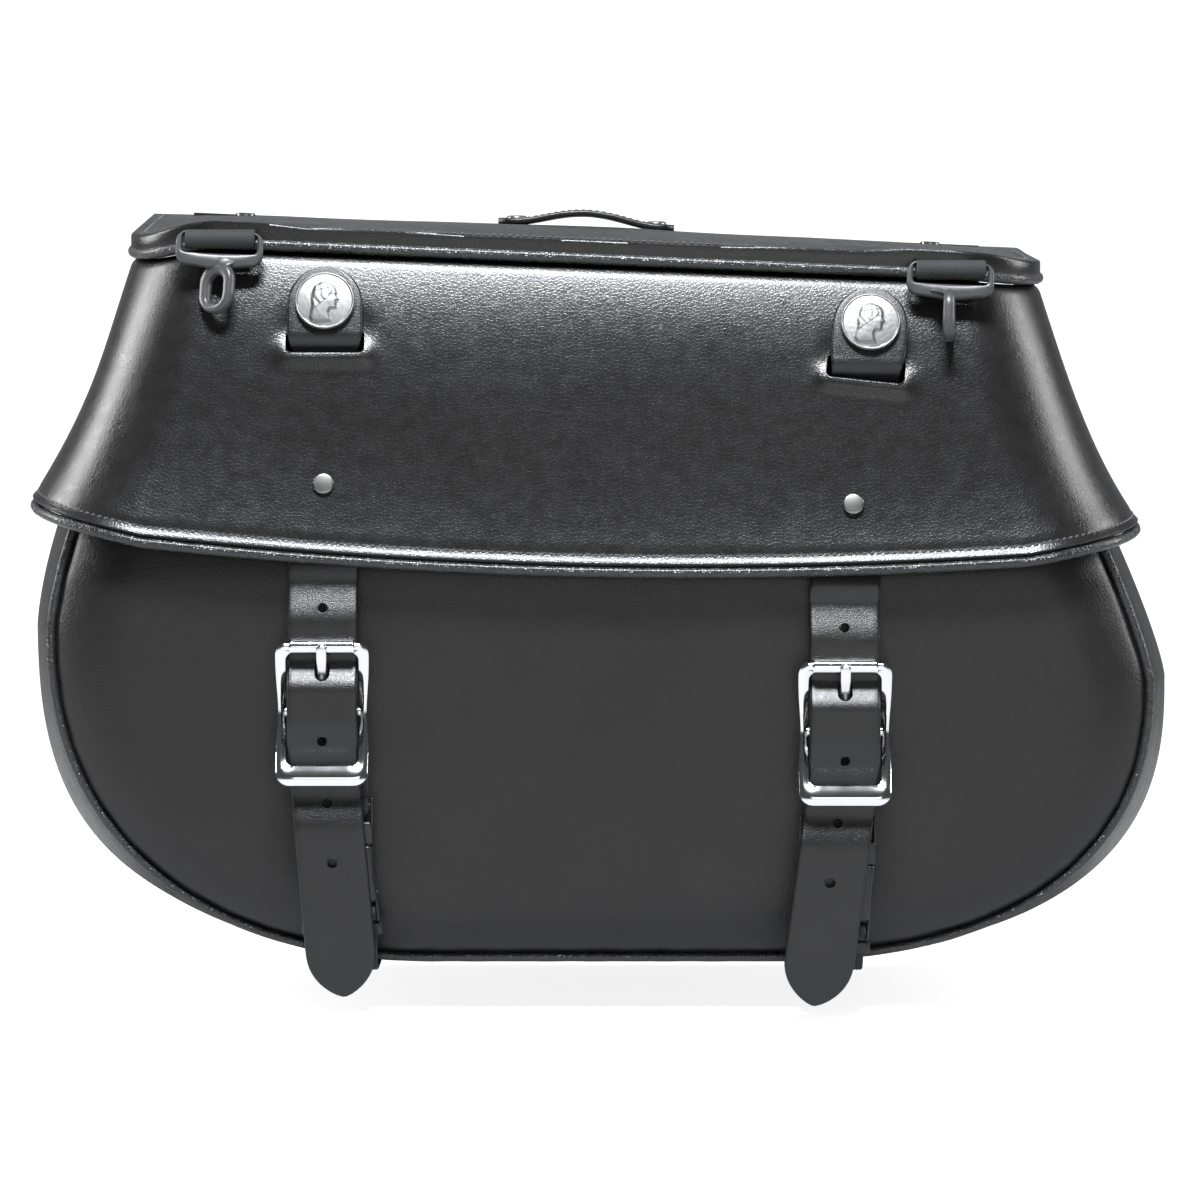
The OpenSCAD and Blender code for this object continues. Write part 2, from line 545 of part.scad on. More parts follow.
// Ring of webbing round a bar of radius r
module web_ring(y, z, r) {
  side_extrude(strap_w) translate([y, z]) difference() {
    circle(r + web_gap + web_t, $fn = 32);
    circle(r + web_gap, $fn = 32);
  }
}
module chape(s) down() hang_place(s) {
  y_top = centre_bar_y + bar_r + web_gap + web_t / 2;
  y_low = clip_y + clip_bar_r + web_gap + web_t / 2;
  l = centre_bar_h - plug_bar_h;
  difference() {
    web_ring(centre_bar_y, centre_bar_h, bar_r);
    translate([-tongue_w / 2 - 0.6, centre_bar_y - 6, centre_bar_h - 6]) cube([tongue_w + 1.2, 12, 12]);
  }
  translate([clip_shift[s], 0, 0]) web_ring(clip_y, plug_bar_h, clip_bar_r);
  translate([0, y_low, plug_bar_h]) rotate([90 - atan((y_top - y_low) / l), 0, 0])
    translate([clip_shift[s], 0, -web_t / 2]) linear_extrude(web_t) polygon([
      [-strap_w / 2, 0.5], [strap_w / 2, 0.5], [strap_w / 2, 4.5],
      [strap_w / 2 - clip_shift[s], l - 3.5], [-strap_w / 2 - clip_shift[s], l - 3.5], [-strap_w / 2, 4.5]]);
}
module release_plug(s) down() clip_place(s) {
  translate([-clip_w / 2, clip_y - clip_t / 2, clip_join_h]) cube([clip_w, clip_t, 8.6]);
  for (k = [-1, 1]) {
    translate([k * (clip_w / 2 - 0.55) - 0.55, clip_y - 3.4, clip_join_h + 8]) cube([1.1, 6.8, 9.4]);
    translate([k * 10.4 - 1.6, clip_y - 2.2, clip_join_h - 16]) cube([3.2, 4.4, 17]);
  }
  translate([-1.6, clip_y - 2.2, clip_join_h - 17.5]) cube([3.2, 4.4, 18]);
  bar(clip_y, plug_bar_h, clip_bar_r, clip_w - 1);
}
module release_socket(s) down() clip_place(s) {
  difference() {
    translate([-clip_w / 2, clip_y - clip_t / 2, 24.4]) cube([clip_w, clip_t, clip_join_h - 24.6]);
    translate([-clip_w / 2 + 1.1, clip_y - clip_t, 26.4]) cube([clip_w - 2.2, clip_t + 2.8, 30]);
    translate([-clip_w, clip_y - clip_t, 27.4]) cube([2 * clip_w, clip_t + 2.4, 7]);
  }
  for (k = [-1, 1]) translate([k * (clip_w / 2 - 0.55) - 0.55, clip_y - 3, 18.4]) cube([1.1, 6, 6.6]);
  bar(clip_y, socket_bar_h, clip_bar_r, clip_w - 1);
}
module lower_webbing(s) down() {
  drop = s * right_drop;
  y0 = clip_y + clip_bar_r + web_gap + web_t / 2;
  difference() {
    clip_place(s) looped_web(clip_y, socket_bar_h, clip_bar_r, [
      [y0, socket_bar_h], [y0, 12 + drop / 2], [y0 + 0.3, 6 + 0.7 * drop], [y0 + 2, 1.2 + drop],
      [y0 + 6, drop - 1.4], [y0 + 14, drop - 1.7], [y0 + 40, drop - 1.5]]);
    translate([strap_x(s) + clip_shift[s], y0 + 32, -5]) cylinder(h = 10, r = 1.9, $fn = 24);
  }
}
module base_rivet(s) down()
  translate([strap_x(s) + clip_shift[s], clip_y + 32 + clip_bar_r + web_gap + web_t / 2, -2.5])
    mirror([0, 0, 1]) rivet(rivet_r, 1.2, 1.5, 1.9);
module webbing_slider(s) down() clip_place(s) {
  y0 = clip_y + clip_bar_r + web_gap + web_t / 2;
  difference() {
    translate([-15, y0 - 2.4, 12.2]) cube([30, 4, 4]);
    translate([-13, y0 - 1.4, 10]) cube([26, 2.5, 10]);
  }
}

// Hooks on webbing laid over the lid
function hook_h(s) = lid_z(hook_x[s], -lid_depth) + 1.4;
hook_bar_y = -134;
module hook_place(s) { translate([hook_x[s], 0, hook_h(s)]) rotate([0, slope, 0]) children(); }
module hook_webbing(s) down() hook_place(s) difference() {
  looped_web(hook_bar_y, 0, bar_r, concat([[hook_bar_y, bar_r + web_gap + web_t / 2]],
    [for (y = [-130.5, -127, -124, -116, -100, -80, -60, -40, -20, -6])
      let (top = lid_top_z(hook_x[s], max(y, -lid_depth)) - hook_h(s) + 1.9)
      [y, y < -128 ? mix(bar_r + web_gap + web_t / 2, top, ease((y - hook_bar_y) / 9)) : top]]));
  translate([0, -14, -5]) cylinder(h = 40, r = 1.9, $fn = 24);
}
module webbing_rivets() color(nickel) down()
  for (s = [0, 1]) hook_place(s) translate([0, -14, lid_top_z(hook_x[s], -14) - hook_h(s) + 3.1])
    rotate_extrude($fn = 24)
      polygon([[0, 1.4], [3.3, 1.4], [3.8, 0.9], [3.8, 0], [1.5, 0], [1.5, -2.7], [0, -2.7]]);
module hook(s) down() hook_place(s) translate([0, hook_bar_y, 0]) rotate([-hook_tilt, 0, 0]) {
  front_extrude(4) difference() {
    polygon([[-16, 2.2], [16, 2.2], [16, -4], [6, -11], [-6, -11], [-16, -4]]);
    polygon([[-13.6, 4], [13.6, 4], [13.6, -4.6], [-13.6, -4.6]]);
  }
  rotate([0, 0, hook_turn[s]]) {
    translate([-hook_out[s], 0, 0]) front_extrude(4) difference() {
      translate([0, -19]) round_rect(15, 18, 7);
      translate([0, -19.5]) round_rect(7.4, 11, 3.4);
    }
    translate([0, 0, -11.5]) cylinder(h = 3, r = 2.4, $fn = 24);
  }
  translate([-14.5, 0, 0]) rotate([0, 90, 0]) cylinder(h = 29, r = bar_r, $fn = 32);
}
module left_hook_webbing() color(webbing) hook_webbing(0);
module right_hook_webbing() color(webbing) hook_webbing(1);
module left_hook() color(hook_grey) hook(0);
module right_hook() color(hook_grey) hook(1);
module left_strap_tab() color(leather) strap_tab(0);
module right_strap_tab() color(leather) strap_tab(1);
module left_strap() color(leather) strap(0);
module right_strap() color(leather) strap(1);
module left_concho() color(nickel) concho(0);
module right_concho() color(nickel) concho(1);
module left_concho_screw() color(nickel) concho_screw(0);
module right_concho_screw() color(nickel) concho_screw(1);
module left_strap_rivet() color(nickel) strap_rivet(0);
module right_strap_rivet() color(nickel) strap_rivet(1);
module left_buckle_frame() color(chrome) buckle_frame(0);
module right_buckle_frame() color(chrome) buckle_frame(1);
module left_buckle_roller() color(chrome) buckle_roller(0);
module right_buckle_roller() color(chrome) buckle_roller(1);
module left_buckle_tongue() color(chrome) buckle_tongue(0);
module right_buckle_tongue() color(chrome) buckle_tongue(1);
module left_chape() color(webbing) chape(0);
module right_chape() color(webbing) chape(1);
module left_release_plug() color(plastic) release_plug(0);
module right_release_plug() color(plastic) release_plug(1);
module left_release_socket() color(plastic) release_socket(0);
module right_release_socket() color(plastic) release_socket(1);
module left_lower_webbing() color(webbing) lower_webbing(0);
module right_lower_webbing() color(webbing) lower_webbing(1);
module left_webbing_slider() color(plastic) webbing_slider(0);
module right_webbing_slider() color(plastic) webbing_slider(1);
module left_base_rivet() color(nickel) base_rivet(0);
module right_base_rivet() color(nickel) base_rivet(1);

back_panel();
back_stiffener();
front_panel();
gusset();
front_piping();
back_piping();
base_board();
mouth_binding();
mounting_grommets();
hinge_strip();
lid_top();
lid_board();
lid_skirt();
lid_top_piping();
lid_edge_piping();
carry_handle();
handle_rivets();
webbing_rivets();
left_hook_webbing();
left_hook();
left_strap_tab();
left_strap();
left_concho();
left_concho_screw();
left_strap_rivet();
left_buckle_frame();
left_buckle_roller();
left_buckle_tongue();
left_chape();
left_release_plug();
left_release_socket();
left_lower_webbing();
left_webbing_slider();
left_base_rivet();
right_hook_webbing();
right_hook();
right_strap_tab();
right_strap();
right_concho();
right_concho_screw();
right_strap_rivet();
right_buckle_frame();
right_buckle_roller();
right_buckle_tongue();
right_chape();
right_release_plug();
right_release_socket();
right_lower_webbing();
right_webbing_slider();
right_base_rivet();
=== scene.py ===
import math

import bmesh
import bpy
import numpy as np
from mathutils import Matrix, Vector

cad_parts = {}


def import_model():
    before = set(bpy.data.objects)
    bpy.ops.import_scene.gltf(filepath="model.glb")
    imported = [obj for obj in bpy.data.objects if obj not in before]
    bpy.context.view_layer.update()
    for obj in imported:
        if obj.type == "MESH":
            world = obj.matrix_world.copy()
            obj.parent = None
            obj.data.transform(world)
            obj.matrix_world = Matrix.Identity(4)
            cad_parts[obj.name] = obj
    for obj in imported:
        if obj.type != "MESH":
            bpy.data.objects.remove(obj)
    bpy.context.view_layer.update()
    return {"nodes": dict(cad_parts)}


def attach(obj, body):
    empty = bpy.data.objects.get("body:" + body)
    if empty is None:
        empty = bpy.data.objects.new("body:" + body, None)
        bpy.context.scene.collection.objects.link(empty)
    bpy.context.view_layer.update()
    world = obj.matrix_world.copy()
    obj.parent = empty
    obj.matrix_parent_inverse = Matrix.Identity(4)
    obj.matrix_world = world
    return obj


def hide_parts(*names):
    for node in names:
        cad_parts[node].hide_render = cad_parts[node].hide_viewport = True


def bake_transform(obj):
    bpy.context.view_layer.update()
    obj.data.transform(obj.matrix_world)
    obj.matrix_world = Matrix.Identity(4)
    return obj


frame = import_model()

# Shared sizes in millimetres, with z measured up from the bag's base
MOUNT_H = 150.0
MOUTH_H, SEAM_D, LEAN, LEAN_H, BULGE = 243.0, 136.0, 30.0, 140.0, 12.0
LEFT_W, RIGHT_W, LEFT_MOUTH, RIGHT_MOUTH = 203.0, 203.0, 159.0, 143.0
LEFT_BELLY, RIGHT_BELLY, BASE_HALF, FLARE, BASE_LIFT = 121.0, 103.0, 60.0, 10.0, 0.0
BACK_T, HIDE = 4.0, 3.0
LID_H, SLOPE, REAR_RISE, LID_D, LID_X = 257.5, math.radians(2.4), 7.0, 126.0, -5.5
LID_TOP_W, LID_LOW_W, SHOULDER, LID_FLARE, LOW_H, CORNER = 169.0, 205.0, 10.0, 22.0, 146.0, 34.0
PIPE, SEAM_GAP, BAND_H, CROWN = 2.0, 0.35, 4.6, 2.5
LEFT_ROUND, RIGHT_ROUND, ROUND_GAIN, LEFT_TAPER, RIGHT_TAPER = 2.26, 2.37, 0.4, 1.4, 1.25
LID_REAR_Y, HANDLE_Y, HANDLE_HALF = -3.0, -26.0, 27.0
HOLE_X, HOLE_Z = 100.0, 50.0
STRAP_W, STRAP_T = 25.4, 3.2
STRAP_X = (-100.6, 88.4)
DROP = (0.0, 7.2)
LEAN_TAB = (0.0, math.radians(6))
CONCHO_H, RIVET_H, TAB_W = 240.6, 175.6, 27.6
PIVOT_H, PIVOT_Y = 143.5, -151.8
ROLLER_H, ROLLER_Y, BAR_H, BAR_Y = 117.2, -162.8, 93.3, -157.4
LOW_BAR_H, LOW_BAR_Y, RAIL_Y = 70.4, -166.3, -158.6
CLIP_W, CLIP_T, CLIP_Y, PLUG_H, SOCKET_H = 28.0, 9.0, -155.5, 58.5, 20.5
TIP = (-9.6, -5.7)
TAIL_LEAN = (0.089, -0.132)
CLIP_X = (4.2, -2.4)
CLIP_DRIFT = (2.5, -3.0)
WEB_T = 1.7
HOOK_TURN = (math.radians(-35), math.radians(84))
HOOK_OUT = (0.0, 4.4)
SLOT_Z = (223.0, 220.5)
HOOK_X = (-139.0, 128.0)
HOOK_Y, HOOK_TILT = -134.0, math.radians(15)
SIDES = ("left", "right")
STRAP_HOLES, TONGUE_SLOT_H = (131, 83, 60.5, 39), 108.6
BAR_R, WEB_LOOP_R = 1.8, 2.85
CLIP_BAR_R, CLIP_LOOP_R = 1.7, 2.75
ROLLER_HALF = 11.8
CONCHO_R, COIN_R = 10.9, 9.9


def mix(a, b, t):
    return a + (b - a) * t


def circle(n):
    return np.arange(n) * 2 * math.pi / n


def smooth(path, times):
    """Evens out a path in place, keeping its ends."""
    for _ in range(times):
        path[1:-1] = (path[1:-1] * 2 + path[:-2] + path[2:]) / 4


def ease(t):
    t = np.clip(t, 0, 1)
    return t * t * (3 - 2 * t)


def unit(v):
    v = np.asarray(v, float)
    return v / np.maximum(np.linalg.norm(v, axis=-1, keepdims=True), 1e-9)


def waves(p, size, seed, count=7):
    """Smooth wander of about -1 to 1 over points p in millimetres, with features of about size."""
    g = np.random.default_rng(seed)
    out = np.zeros(p.shape[:-1])
    for _ in range(count):
        d = unit(g.normal(size=3)) * 2 * math.pi / size * g.uniform(0.6, 1.5)
        out += np.sin(p @ d + g.uniform(0, 6.28))
    return out / math.sqrt(count)


# ---------------------------------------------------------------- meshes
def grid_faces(nr, nc, wrap_r=False, wrap_c=False, flip=False, start=0):
    r = np.arange(nr if wrap_r else nr - 1)
    c = np.arange(nc if wrap_c else nc - 1)
    r, c = np.meshgrid(r, c, indexing="ij")
    r2, c2 = (r + 1) % nr, (c + 1) % nc
    q = np.stack([r * nc + c, r * nc + c2, r2 * nc + c2, r2 * nc + c], -1).reshape(-1, 4) + start
    return (q[:, ::-1] if flip else q).tolist()


class Build:
    """Collects parts of one piece in millimetres, then makes the object."""

    def __init__(self):
        self.v, self.f, self.m, self.uv = [], [], [], []
        self.n = 0

    def add(self, verts, faces, mat=0, uv=None):
        verts = np.asarray(verts, float).reshape(-1, 3)
        self.f += [[i + self.n for i in f] for f in faces]
        self.m += [mat] * len(faces)
        self.v.append(verts)
        self.uv.append(np.zeros((len(verts), 2)) if uv is None else np.asarray(uv, float).reshape(-1, 2))
        self.n += len(verts)

    def grid(self, p, wrap_r=False, wrap_c=False, flip=False, mat=0, uv=None):
        nr, nc = p.shape[:2]
        self.add(p, grid_faces(nr, nc, wrap_r, wrap_c, flip), mat, uv)

    def cap(self, ring, flip=False, mat=0):
        ring = np.asarray(ring, float)
        n = len(ring)
        mid = ring.mean(0)
        faces = [[i, (i + 1) % n, n] if not flip else [(i + 1) % n, i, n] for i in range(n)]
        self.add(np.vstack([ring, mid]), faces, mat)

    def tube(self, path, radius, sides=14, up=(0, 0, 1), closed=False, mat=0, squash=1.0):
        path = np.asarray(path, float)
        t = unit(np.roll(path, -1, 0) - np.roll(path, 1, 0)) if closed else unit(np.gradient(path, axis=0))
        up = np.asarray(up, float)
        s = unit(np.cross(np.broadcast_to(up, t.shape), t))
        u = np.cross(t, s)
        a = circle(sides)
        rad = np.broadcast_to(np.asarray(radius, float), (len(path),))[:, None, None]
        turned = np.cos(a)[None, :, None] * s[:, None] + squash * np.sin(a)[None, :, None] * u[:, None]
        self.loft(path[:, None] + rad * turned, closed, mat)

    def loft(self, rings, closed=False, mat=0):
        """Skin through a row of rings, with its ends capped or, when closed, joined."""
        self.grid(rings, wrap_r=closed, wrap_c=True, mat=mat)
        if not closed:
            self.cap(rings[0], mat=mat)
            self.cap(rings[-1], flip=True, mat=mat)

    def mesh(self, name):
        me = bpy.data.meshes.new(name)
        v = np.vstack(self.v)
        me.from_pydata(((v - [0, 0, MOUNT_H]) * 0.001).tolist(), [], self.f)
        return me

    def make(self, name, body, mats, nodes=(), angle=40, blend=None, cut=None, fix=True):
        me = self.mesh(name)
        me.polygons.foreach_set("material_index", self.m)
        uv = np.vstack(self.uv)
        layer = me.uv_layers.new(name="UVMap")
        loops = np.empty(len(me.loops), np.int32)
        me.loops.foreach_get("vertex_index", loops)
        layer.data.foreach_set("uv", uv[loops].astype(np.float32).ravel())
        me.update()
        if fix:
            face_outwards(me, weld=2e-6)
        for m in mats:
            me.materials.append(m)
        o = bpy.data.objects.new(name, me)
        bpy.context.scene.collection.objects.link(o)
        if cut is not None:
            boolean(o, cut)
        o.data.shade_smooth()
        o.data.set_sharp_from_angle(angle=math.radians(angle))
        if blend:
            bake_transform(o)
        else:
            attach(o, body)
        if nodes:
            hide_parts(*nodes)
        return o


def face_outwards(me, weld=0.0):
    bm = bmesh.new()
    bm.from_mesh(me)
    if weld:
        bmesh.ops.remove_doubles(bm, verts=bm.verts, dist=weld)
    bmesh.ops.recalc_face_normals(bm, faces=bm.faces)
    bm.to_mesh(me)
    bm.free()


def boolean(o, cutter):
    me = cutter.mesh("cutter")
    face_outwards(me)
    c = bpy.data.objects.new("cutter", me)
    bpy.context.scene.collection.objects.link(c)
    mod = o.modifiers.new("cut", "BOOLEAN")
    mod.operation, mod.solver, mod.object = "DIFFERENCE", "EXACT", c
    bpy.context.view_layer.update()
    new = bpy.data.meshes.new_from_object(o.evaluated_get(bpy.context.evaluated_depsgraph_get()))
    o.modifiers.clear()
    o.data = new
    bpy.data.objects.remove(c)


def distances(path):
    """How far along the path each of its points lies."""
    return np.concatenate([[0], np.cumsum(np.linalg.norm(np.diff(path, axis=0), axis=1))])


def resample(path, n, closed=False):
    path = np.asarray(path, float)
    if closed:
        path = np.vstack([path, path[:1]])
    d = distances(path)
    s = np.linspace(0, d[-1], n + 1 if closed else n)
    out = np.stack([np.interp(s, d, path[:, k]) for k in range(path.shape[1])], 1)
    return out[:-1] if closed else out


def side_path(yz, x=None):
    """Path of (x, y, z) from (y, z) points, in the middle plane unless x is given."""
    return np.stack([np.zeros(len(yz)) if x is None else x, yz[:, 0], yz[:, 1]], 1)


def length(path):
    return float(np.linalg.norm(np.diff(path, axis=0), axis=1).sum())


def turn(p, pivot, axis, angle):
    m = np.array(Matrix.Rotation(angle, 3, Vector(axis)))
    return (np.asarray(p, float) - pivot) @ m.T + pivot


def edge_profile(w, t, r, n=4):
    """Cross-section of a strap: width w, thickness t, edges rounded by r, as (across, out) pairs."""
    r = min(r, w / 2 * 0.98, t / 2 * 0.98)
    pts = []
    for sx, sy, a0 in ((1, 1, 0), (-1, 1, 90), (-1, -1, 180), (1, -1, 270)):
        for k in range(n + 1):
            a = math.radians(a0 + 90 * k / n)
            pts.append((sx * (w / 2 - r) + r * math.cos(a), sy * (t / 2 - r) + r * math.sin(a)))
    return np.array(pts)


def ribbon(b, path, width, thick, r=0.8, n=4, across=(1, 0, 0), mat=0, flats=6):
    """Strap along path, with rounded edges. width may vary along it."""
    path = np.asarray(path, float)
    width = np.broadcast_to(np.asarray(width, float), (len(path),))
    t = unit(np.gradient(path, axis=0))
    ac = np.broadcast_to(np.asarray(across, float), t.shape)
    w = unit(ac - (ac * t).sum(1, keepdims=True) * t)
    q = np.cross(t, w)
    rings, uvs = [], []
    s = distances(path)
    for i in range(len(path)):
        prof = edge_profile(max(width[i], 0.05), thick, r, n)
        # extra points over the flats, so that the faces stay even
        top = np.linspace(prof[n], prof[n + 1], flats + 2)[1:-1]
        bottom = np.linspace(prof[3 * n + 2], prof[3 * n + 3], flats + 2)[1:-1]
        prof = np.vstack([prof[: n + 1], top, prof[n + 1: 3 * n + 3], bottom, prof[3 * n + 3:]])
        rings.append(path[i] + prof[:, :1] * w[i] + prof[:, 1:] * q[i])
        uvs.append(np.stack([prof[:, 0], np.full(len(prof), s[i])], 1))
    rings = np.array(rings)
    b.grid(rings, wrap_c=True, mat=mat, uv=np.array(uvs) * 0.001)
    b.cap(rings[0], mat=mat)
    b.cap(rings[-1], flip=True, mat=mat)


def frame_ring(b, outer, inner, y, thick, section, place, mat=0, closed=True):
    """Closed loop of metal or plastic between two outlines (x, z) with as many points, bulging by section.

    section is a list of (across from inner -1 to outer 1, depth from back -1 to front 1)."""
    outer, inner = np.asarray(outer, float), np.asarray(inner, float)
    y = np.broadcast_to(np.asarray(y, float), (len(outer),))
    thick = np.broadcast_to(np.asarray(thick, float), (len(outer),))
    sec = np.asarray(section, float)
    k = (sec[:, 0] + 1) / 2
    xz = inner[:, None] + k[None, :, None] * (outer - inner)[:, None]
    yy = y[:, None] - sec[None, :, 1] * thick[:, None] / 2
    ring = np.stack([xz[..., 0], yy, xz[..., 1]], -1)
    b.loft(place(ring), closed, mat)


def oval_section(n=16, power=0.7):
    c, d = np.cos(circle(n)), np.sin(circle(n))
    return np.stack([np.sign(c) * np.abs(c) ** power, np.sign(d) * np.abs(d) ** power], 1)


def rounded(w, h, r, n=8, cx=0.0, cz=0.0):
    """Rounded rectangle as (x, z) points, starting at the right side."""
    pts = []
    for sx, sz, a0 in ((1, 1, 0), (-1, 1, 90), (-1, -1, 180), (1, -1, 270)):
        for k in range(n + 1):
            a = math.radians(a0 + 90 * k / n)
            pts.append((cx + sx * (w / 2 - r) + r * math.cos(a), cz + sz * (h / 2 - r) + r * math.sin(a)))
    return np.array(pts)


def shrink(pts, d):
    """Closed outline moved inwards by d."""
    t = unit(np.roll(pts, -1, 0) - np.roll(pts, 1, 0))
    return pts - d * np.stack([t[:, 1], -t[:, 0]], 1)


def plate(b, pts, y0, y1, r, place, mat=0, n=4):
    """Solid between y0 (front) and y1 (back) with the outline pts (x, z), its edges rounded by r."""
    rings = []
    for y, way, steps in ((y0, 1, range(n + 1)), (y1, -1, range(n, -1, -1))):
        for k in steps:
            a = math.pi / 2 * k / n
            q = shrink(pts, r * (1 - math.sin(a)))
            rings.append(np.stack([q[:, 0], np.full(len(q), y + way * r * (1 - math.cos(a))), q[:, 1]], 1))
    rings = place(np.array(rings))
    b.grid(rings, wrap_c=True, mat=mat)
    m = rings.shape[1]
    b.add(rings[0], [list(range(m))[::-1]], mat)
    b.add(rings[-1], [list(range(m))], mat)


def rbox(b, w, t, h, centre, r, place, mat=0):
    pts = rounded(w, h, max(r, 0.05), 4, centre[0], centre[2])
    plate(b, pts, centre[1] - t / 2, centre[1] + t / 2, r, place, mat, n=3)


def disc(b, profile, centre, axis, n=48):
    """Turned part: profile is a list of (radius, height along axis), ending at radius 0 or not."""
    axis = unit(np.asarray(axis, float))
    u = unit(np.cross([0, 0, 1.0] if abs(axis[2]) < 0.9 else [1.0, 0, 0], axis))
    v = np.cross(axis, u)
    spokes = [math.cos(w) * u + math.sin(w) * v for w in circle(n)]
    rings = np.array([[centre + axis * h + max(r, 1e-3) * d for d in spokes] for r, h in profile])
    b.grid(rings, wrap_c=True)
    if profile[0][0] > 0.01:
        b.cap(rings[0])
    if profile[-1][0] > 0.01:
        b.cap(rings[-1], flip=True)


def weave(b, path, width, thick, rib=1.27, pick=1.05, depth=0.2, step=0.26):
    """Webbing along path, with its coarse ribbed weave standing up from both faces."""
    path = resample(path, max(8, int(length(path) / step)))
    t = unit(np.gradient(path, axis=0))
    w = unit([1.0, 0, 0] - t[:, :1] * t)
    q = np.cross(t, w)
    s = distances(path)
    m = int(width / rib) * 4
    u = np.linspace(-width / 2, width / 2, m + 1)
    col = u / rib
    phase = np.where(np.floor(col) % 2 == 0, 0.0, 0.5)
    shift = np.abs((col % 1) - 0.5)
    picks = np.abs(np.sin(math.pi * (s[:, None] / pick + phase[None] + shift[None] * 0.8)))
    h = picks * np.abs(np.cos(math.pi * (col[None] % 1 - 0.5))) ** 0.5
    edge = np.clip((width / 2 - np.abs(u)) / 0.9, 0, 1) ** 0.5
    half = (thick / 2 - depth) * (0.45 + 0.55 * edge)[None] + depth * h * edge[None]
    middle, rise = path[:, None] + u[None, :, None] * w[:, None], half[..., None] * q[:, None]
    b.loft(np.concatenate([middle + rise, (middle - rise)[:, ::-1]], 1))


def stitches(b, path, normal, pitch=2.75, size=(1.9, 0.42), slant=0.18, lift=0.08):
    """Row of separate thread stitches along path, lying on a surface with the given normals."""
    total = length(path)
    n = max(2, int(total / pitch))
    d = distances(path)
    s = (np.arange(n) + 0.5) * total / n

    def at(values, place):
        return np.stack([np.interp(place, d, values[:, k]) for k in range(3)], 1)

    p = at(path, s)
    t = unit(at(path, s + 0.05) - at(path, s - 0.05))
    nn = unit(at(normal, s))
    side = unit(np.cross(nn, t))
    half, rad = size[0] / 2, size[1]
    cuts = np.array([-1, -0.8, -0.35, 0.35, 0.8, 1.0])
    rads = np.array([0.02, 0.62, 1, 1, 0.62, 0.02])
    a = circle(6)
    for i in range(n):
        tt = unit(t[i] + slant * side[i])
        ss = unit(np.cross(nn[i], tt))
        around = np.cos(a)[None, :, None] * ss + 0.75 * np.sin(a)[None, :, None] * nn[i]
        ring = (
            p[i] + nn[i] * lift
            + cuts[:, None, None] * half * tt
            - (1 - rads)[:, None, None] * rad * 0.7 * nn[i]
            + rads[:, None, None] * rad * around
        )
        b.grid(ring, wrap_c=True)


def lumpy(n, radius, amount, wave, drift):
    """Radius of a leather-covered cord at each of n points, with slight lumps."""
    i = np.arange(n)
    return radius * (1 + amount * np.sin(i * wave) * np.sin(i * drift))


def peg(cut, ring, place, ends):
    """Cutter with the outline ring of (x, z) points, from y at ends[0] to ends[1]."""
    ring = np.asarray(ring, float)
    cut.loft(np.array([place(np.stack([ring[:, 0], np.full(len(ring), y), ring[:, 1]], 1)) for y in ends]))


# ---------------------------------------------------------------- materials
def material(name, color, rough, grain=None, metal=0.0, coat=0.0, spec=0.5, mottling=0.25, rough_var=0.08):
    """Mottled surface. grain is (size in metres, depth in metres, "leather" for cells or "noise")."""
    m = bpy.data.materials.new(name)
    m.use_nodes = True
    nt = m.node_tree
    link = nt.links.new

    def add(kind, **values):
        node = nt.nodes.new("ShaderNode" + kind)
        for key, value in values.items():
            node.inputs[key.replace("_", " ")].default_value = value
        return node

    bsdf = nt.nodes["Principled BSDF"]
    bsdf.inputs["Metallic"].default_value = metal
    bsdf.inputs["Specular IOR Level"].default_value = spec
    bsdf.inputs["Coat Weight"].default_value = coat
    bsdf.inputs["Coat Roughness"].default_value = 0.25
    place = add("TexCoord").outputs["Object"]
    big = add("TexNoise", Scale=28, Detail=5)
    link(place, big.inputs["Vector"])
    tone = add("Mix")
    tone.data_type = "RGBA"
    tone.inputs[6].default_value = (*[c * (1 - mottling) for c in color], 1)
    tone.inputs[7].default_value = (*[min(1, c * (1 + 2 * mottling)) for c in color], 1)
    link(big.outputs["Fac"], tone.inputs[0])
    link(tone.outputs[2], bsdf.inputs["Base Color"])
    wear = add("MapRange", To_Min=rough - rough_var, To_Max=rough + rough_var)
    fine = add("TexNoise", Scale=160, Detail=4)
    link(place, fine.inputs["Vector"])
    link(fine.outputs["Fac"], wear.inputs["Value"])
    link(wear.outputs["Result"], bsdf.inputs["Roughness"])
    if grain:
        size, depth, kind = grain
        bump = add("Bump", Strength=1.0, Distance=depth)
        if kind == "leather":
            cells = add("TexVoronoi", Scale=1 / size)
            cells.feature = "DISTANCE_TO_EDGE"
            warp = add("TexNoise", Scale=0.35 / size)
            shift = add("VectorMath")
            shift.operation = "MULTIPLY_ADD"
            shift.inputs[1].default_value = (size * 1.4,) * 3
            link(place, warp.inputs["Vector"])
            link(warp.outputs["Color"], shift.inputs[0])
            link(place, shift.inputs[2])
            link(shift.outputs[0], cells.inputs["Vector"])
            crease = add("MapRange", From_Max=0.22)
            link(cells.outputs["Distance"], crease.inputs["Value"])
            link(crease.outputs["Result"], bump.inputs["Height"])
        else:
            noise = add("TexNoise", Scale=1 / size, Detail=3)
            link(place, noise.inputs["Vector"])
            link(noise.outputs["Fac"], bump.inputs["Height"])
        link(bump.outputs["Normal"], bsdf.inputs["Normal"])
    return m


def leather(name, color, rough, size, depth, coat, spec=0.5):
    return material(name, color, rough, grain=(size, depth, "leather"), coat=coat, spec=spec)


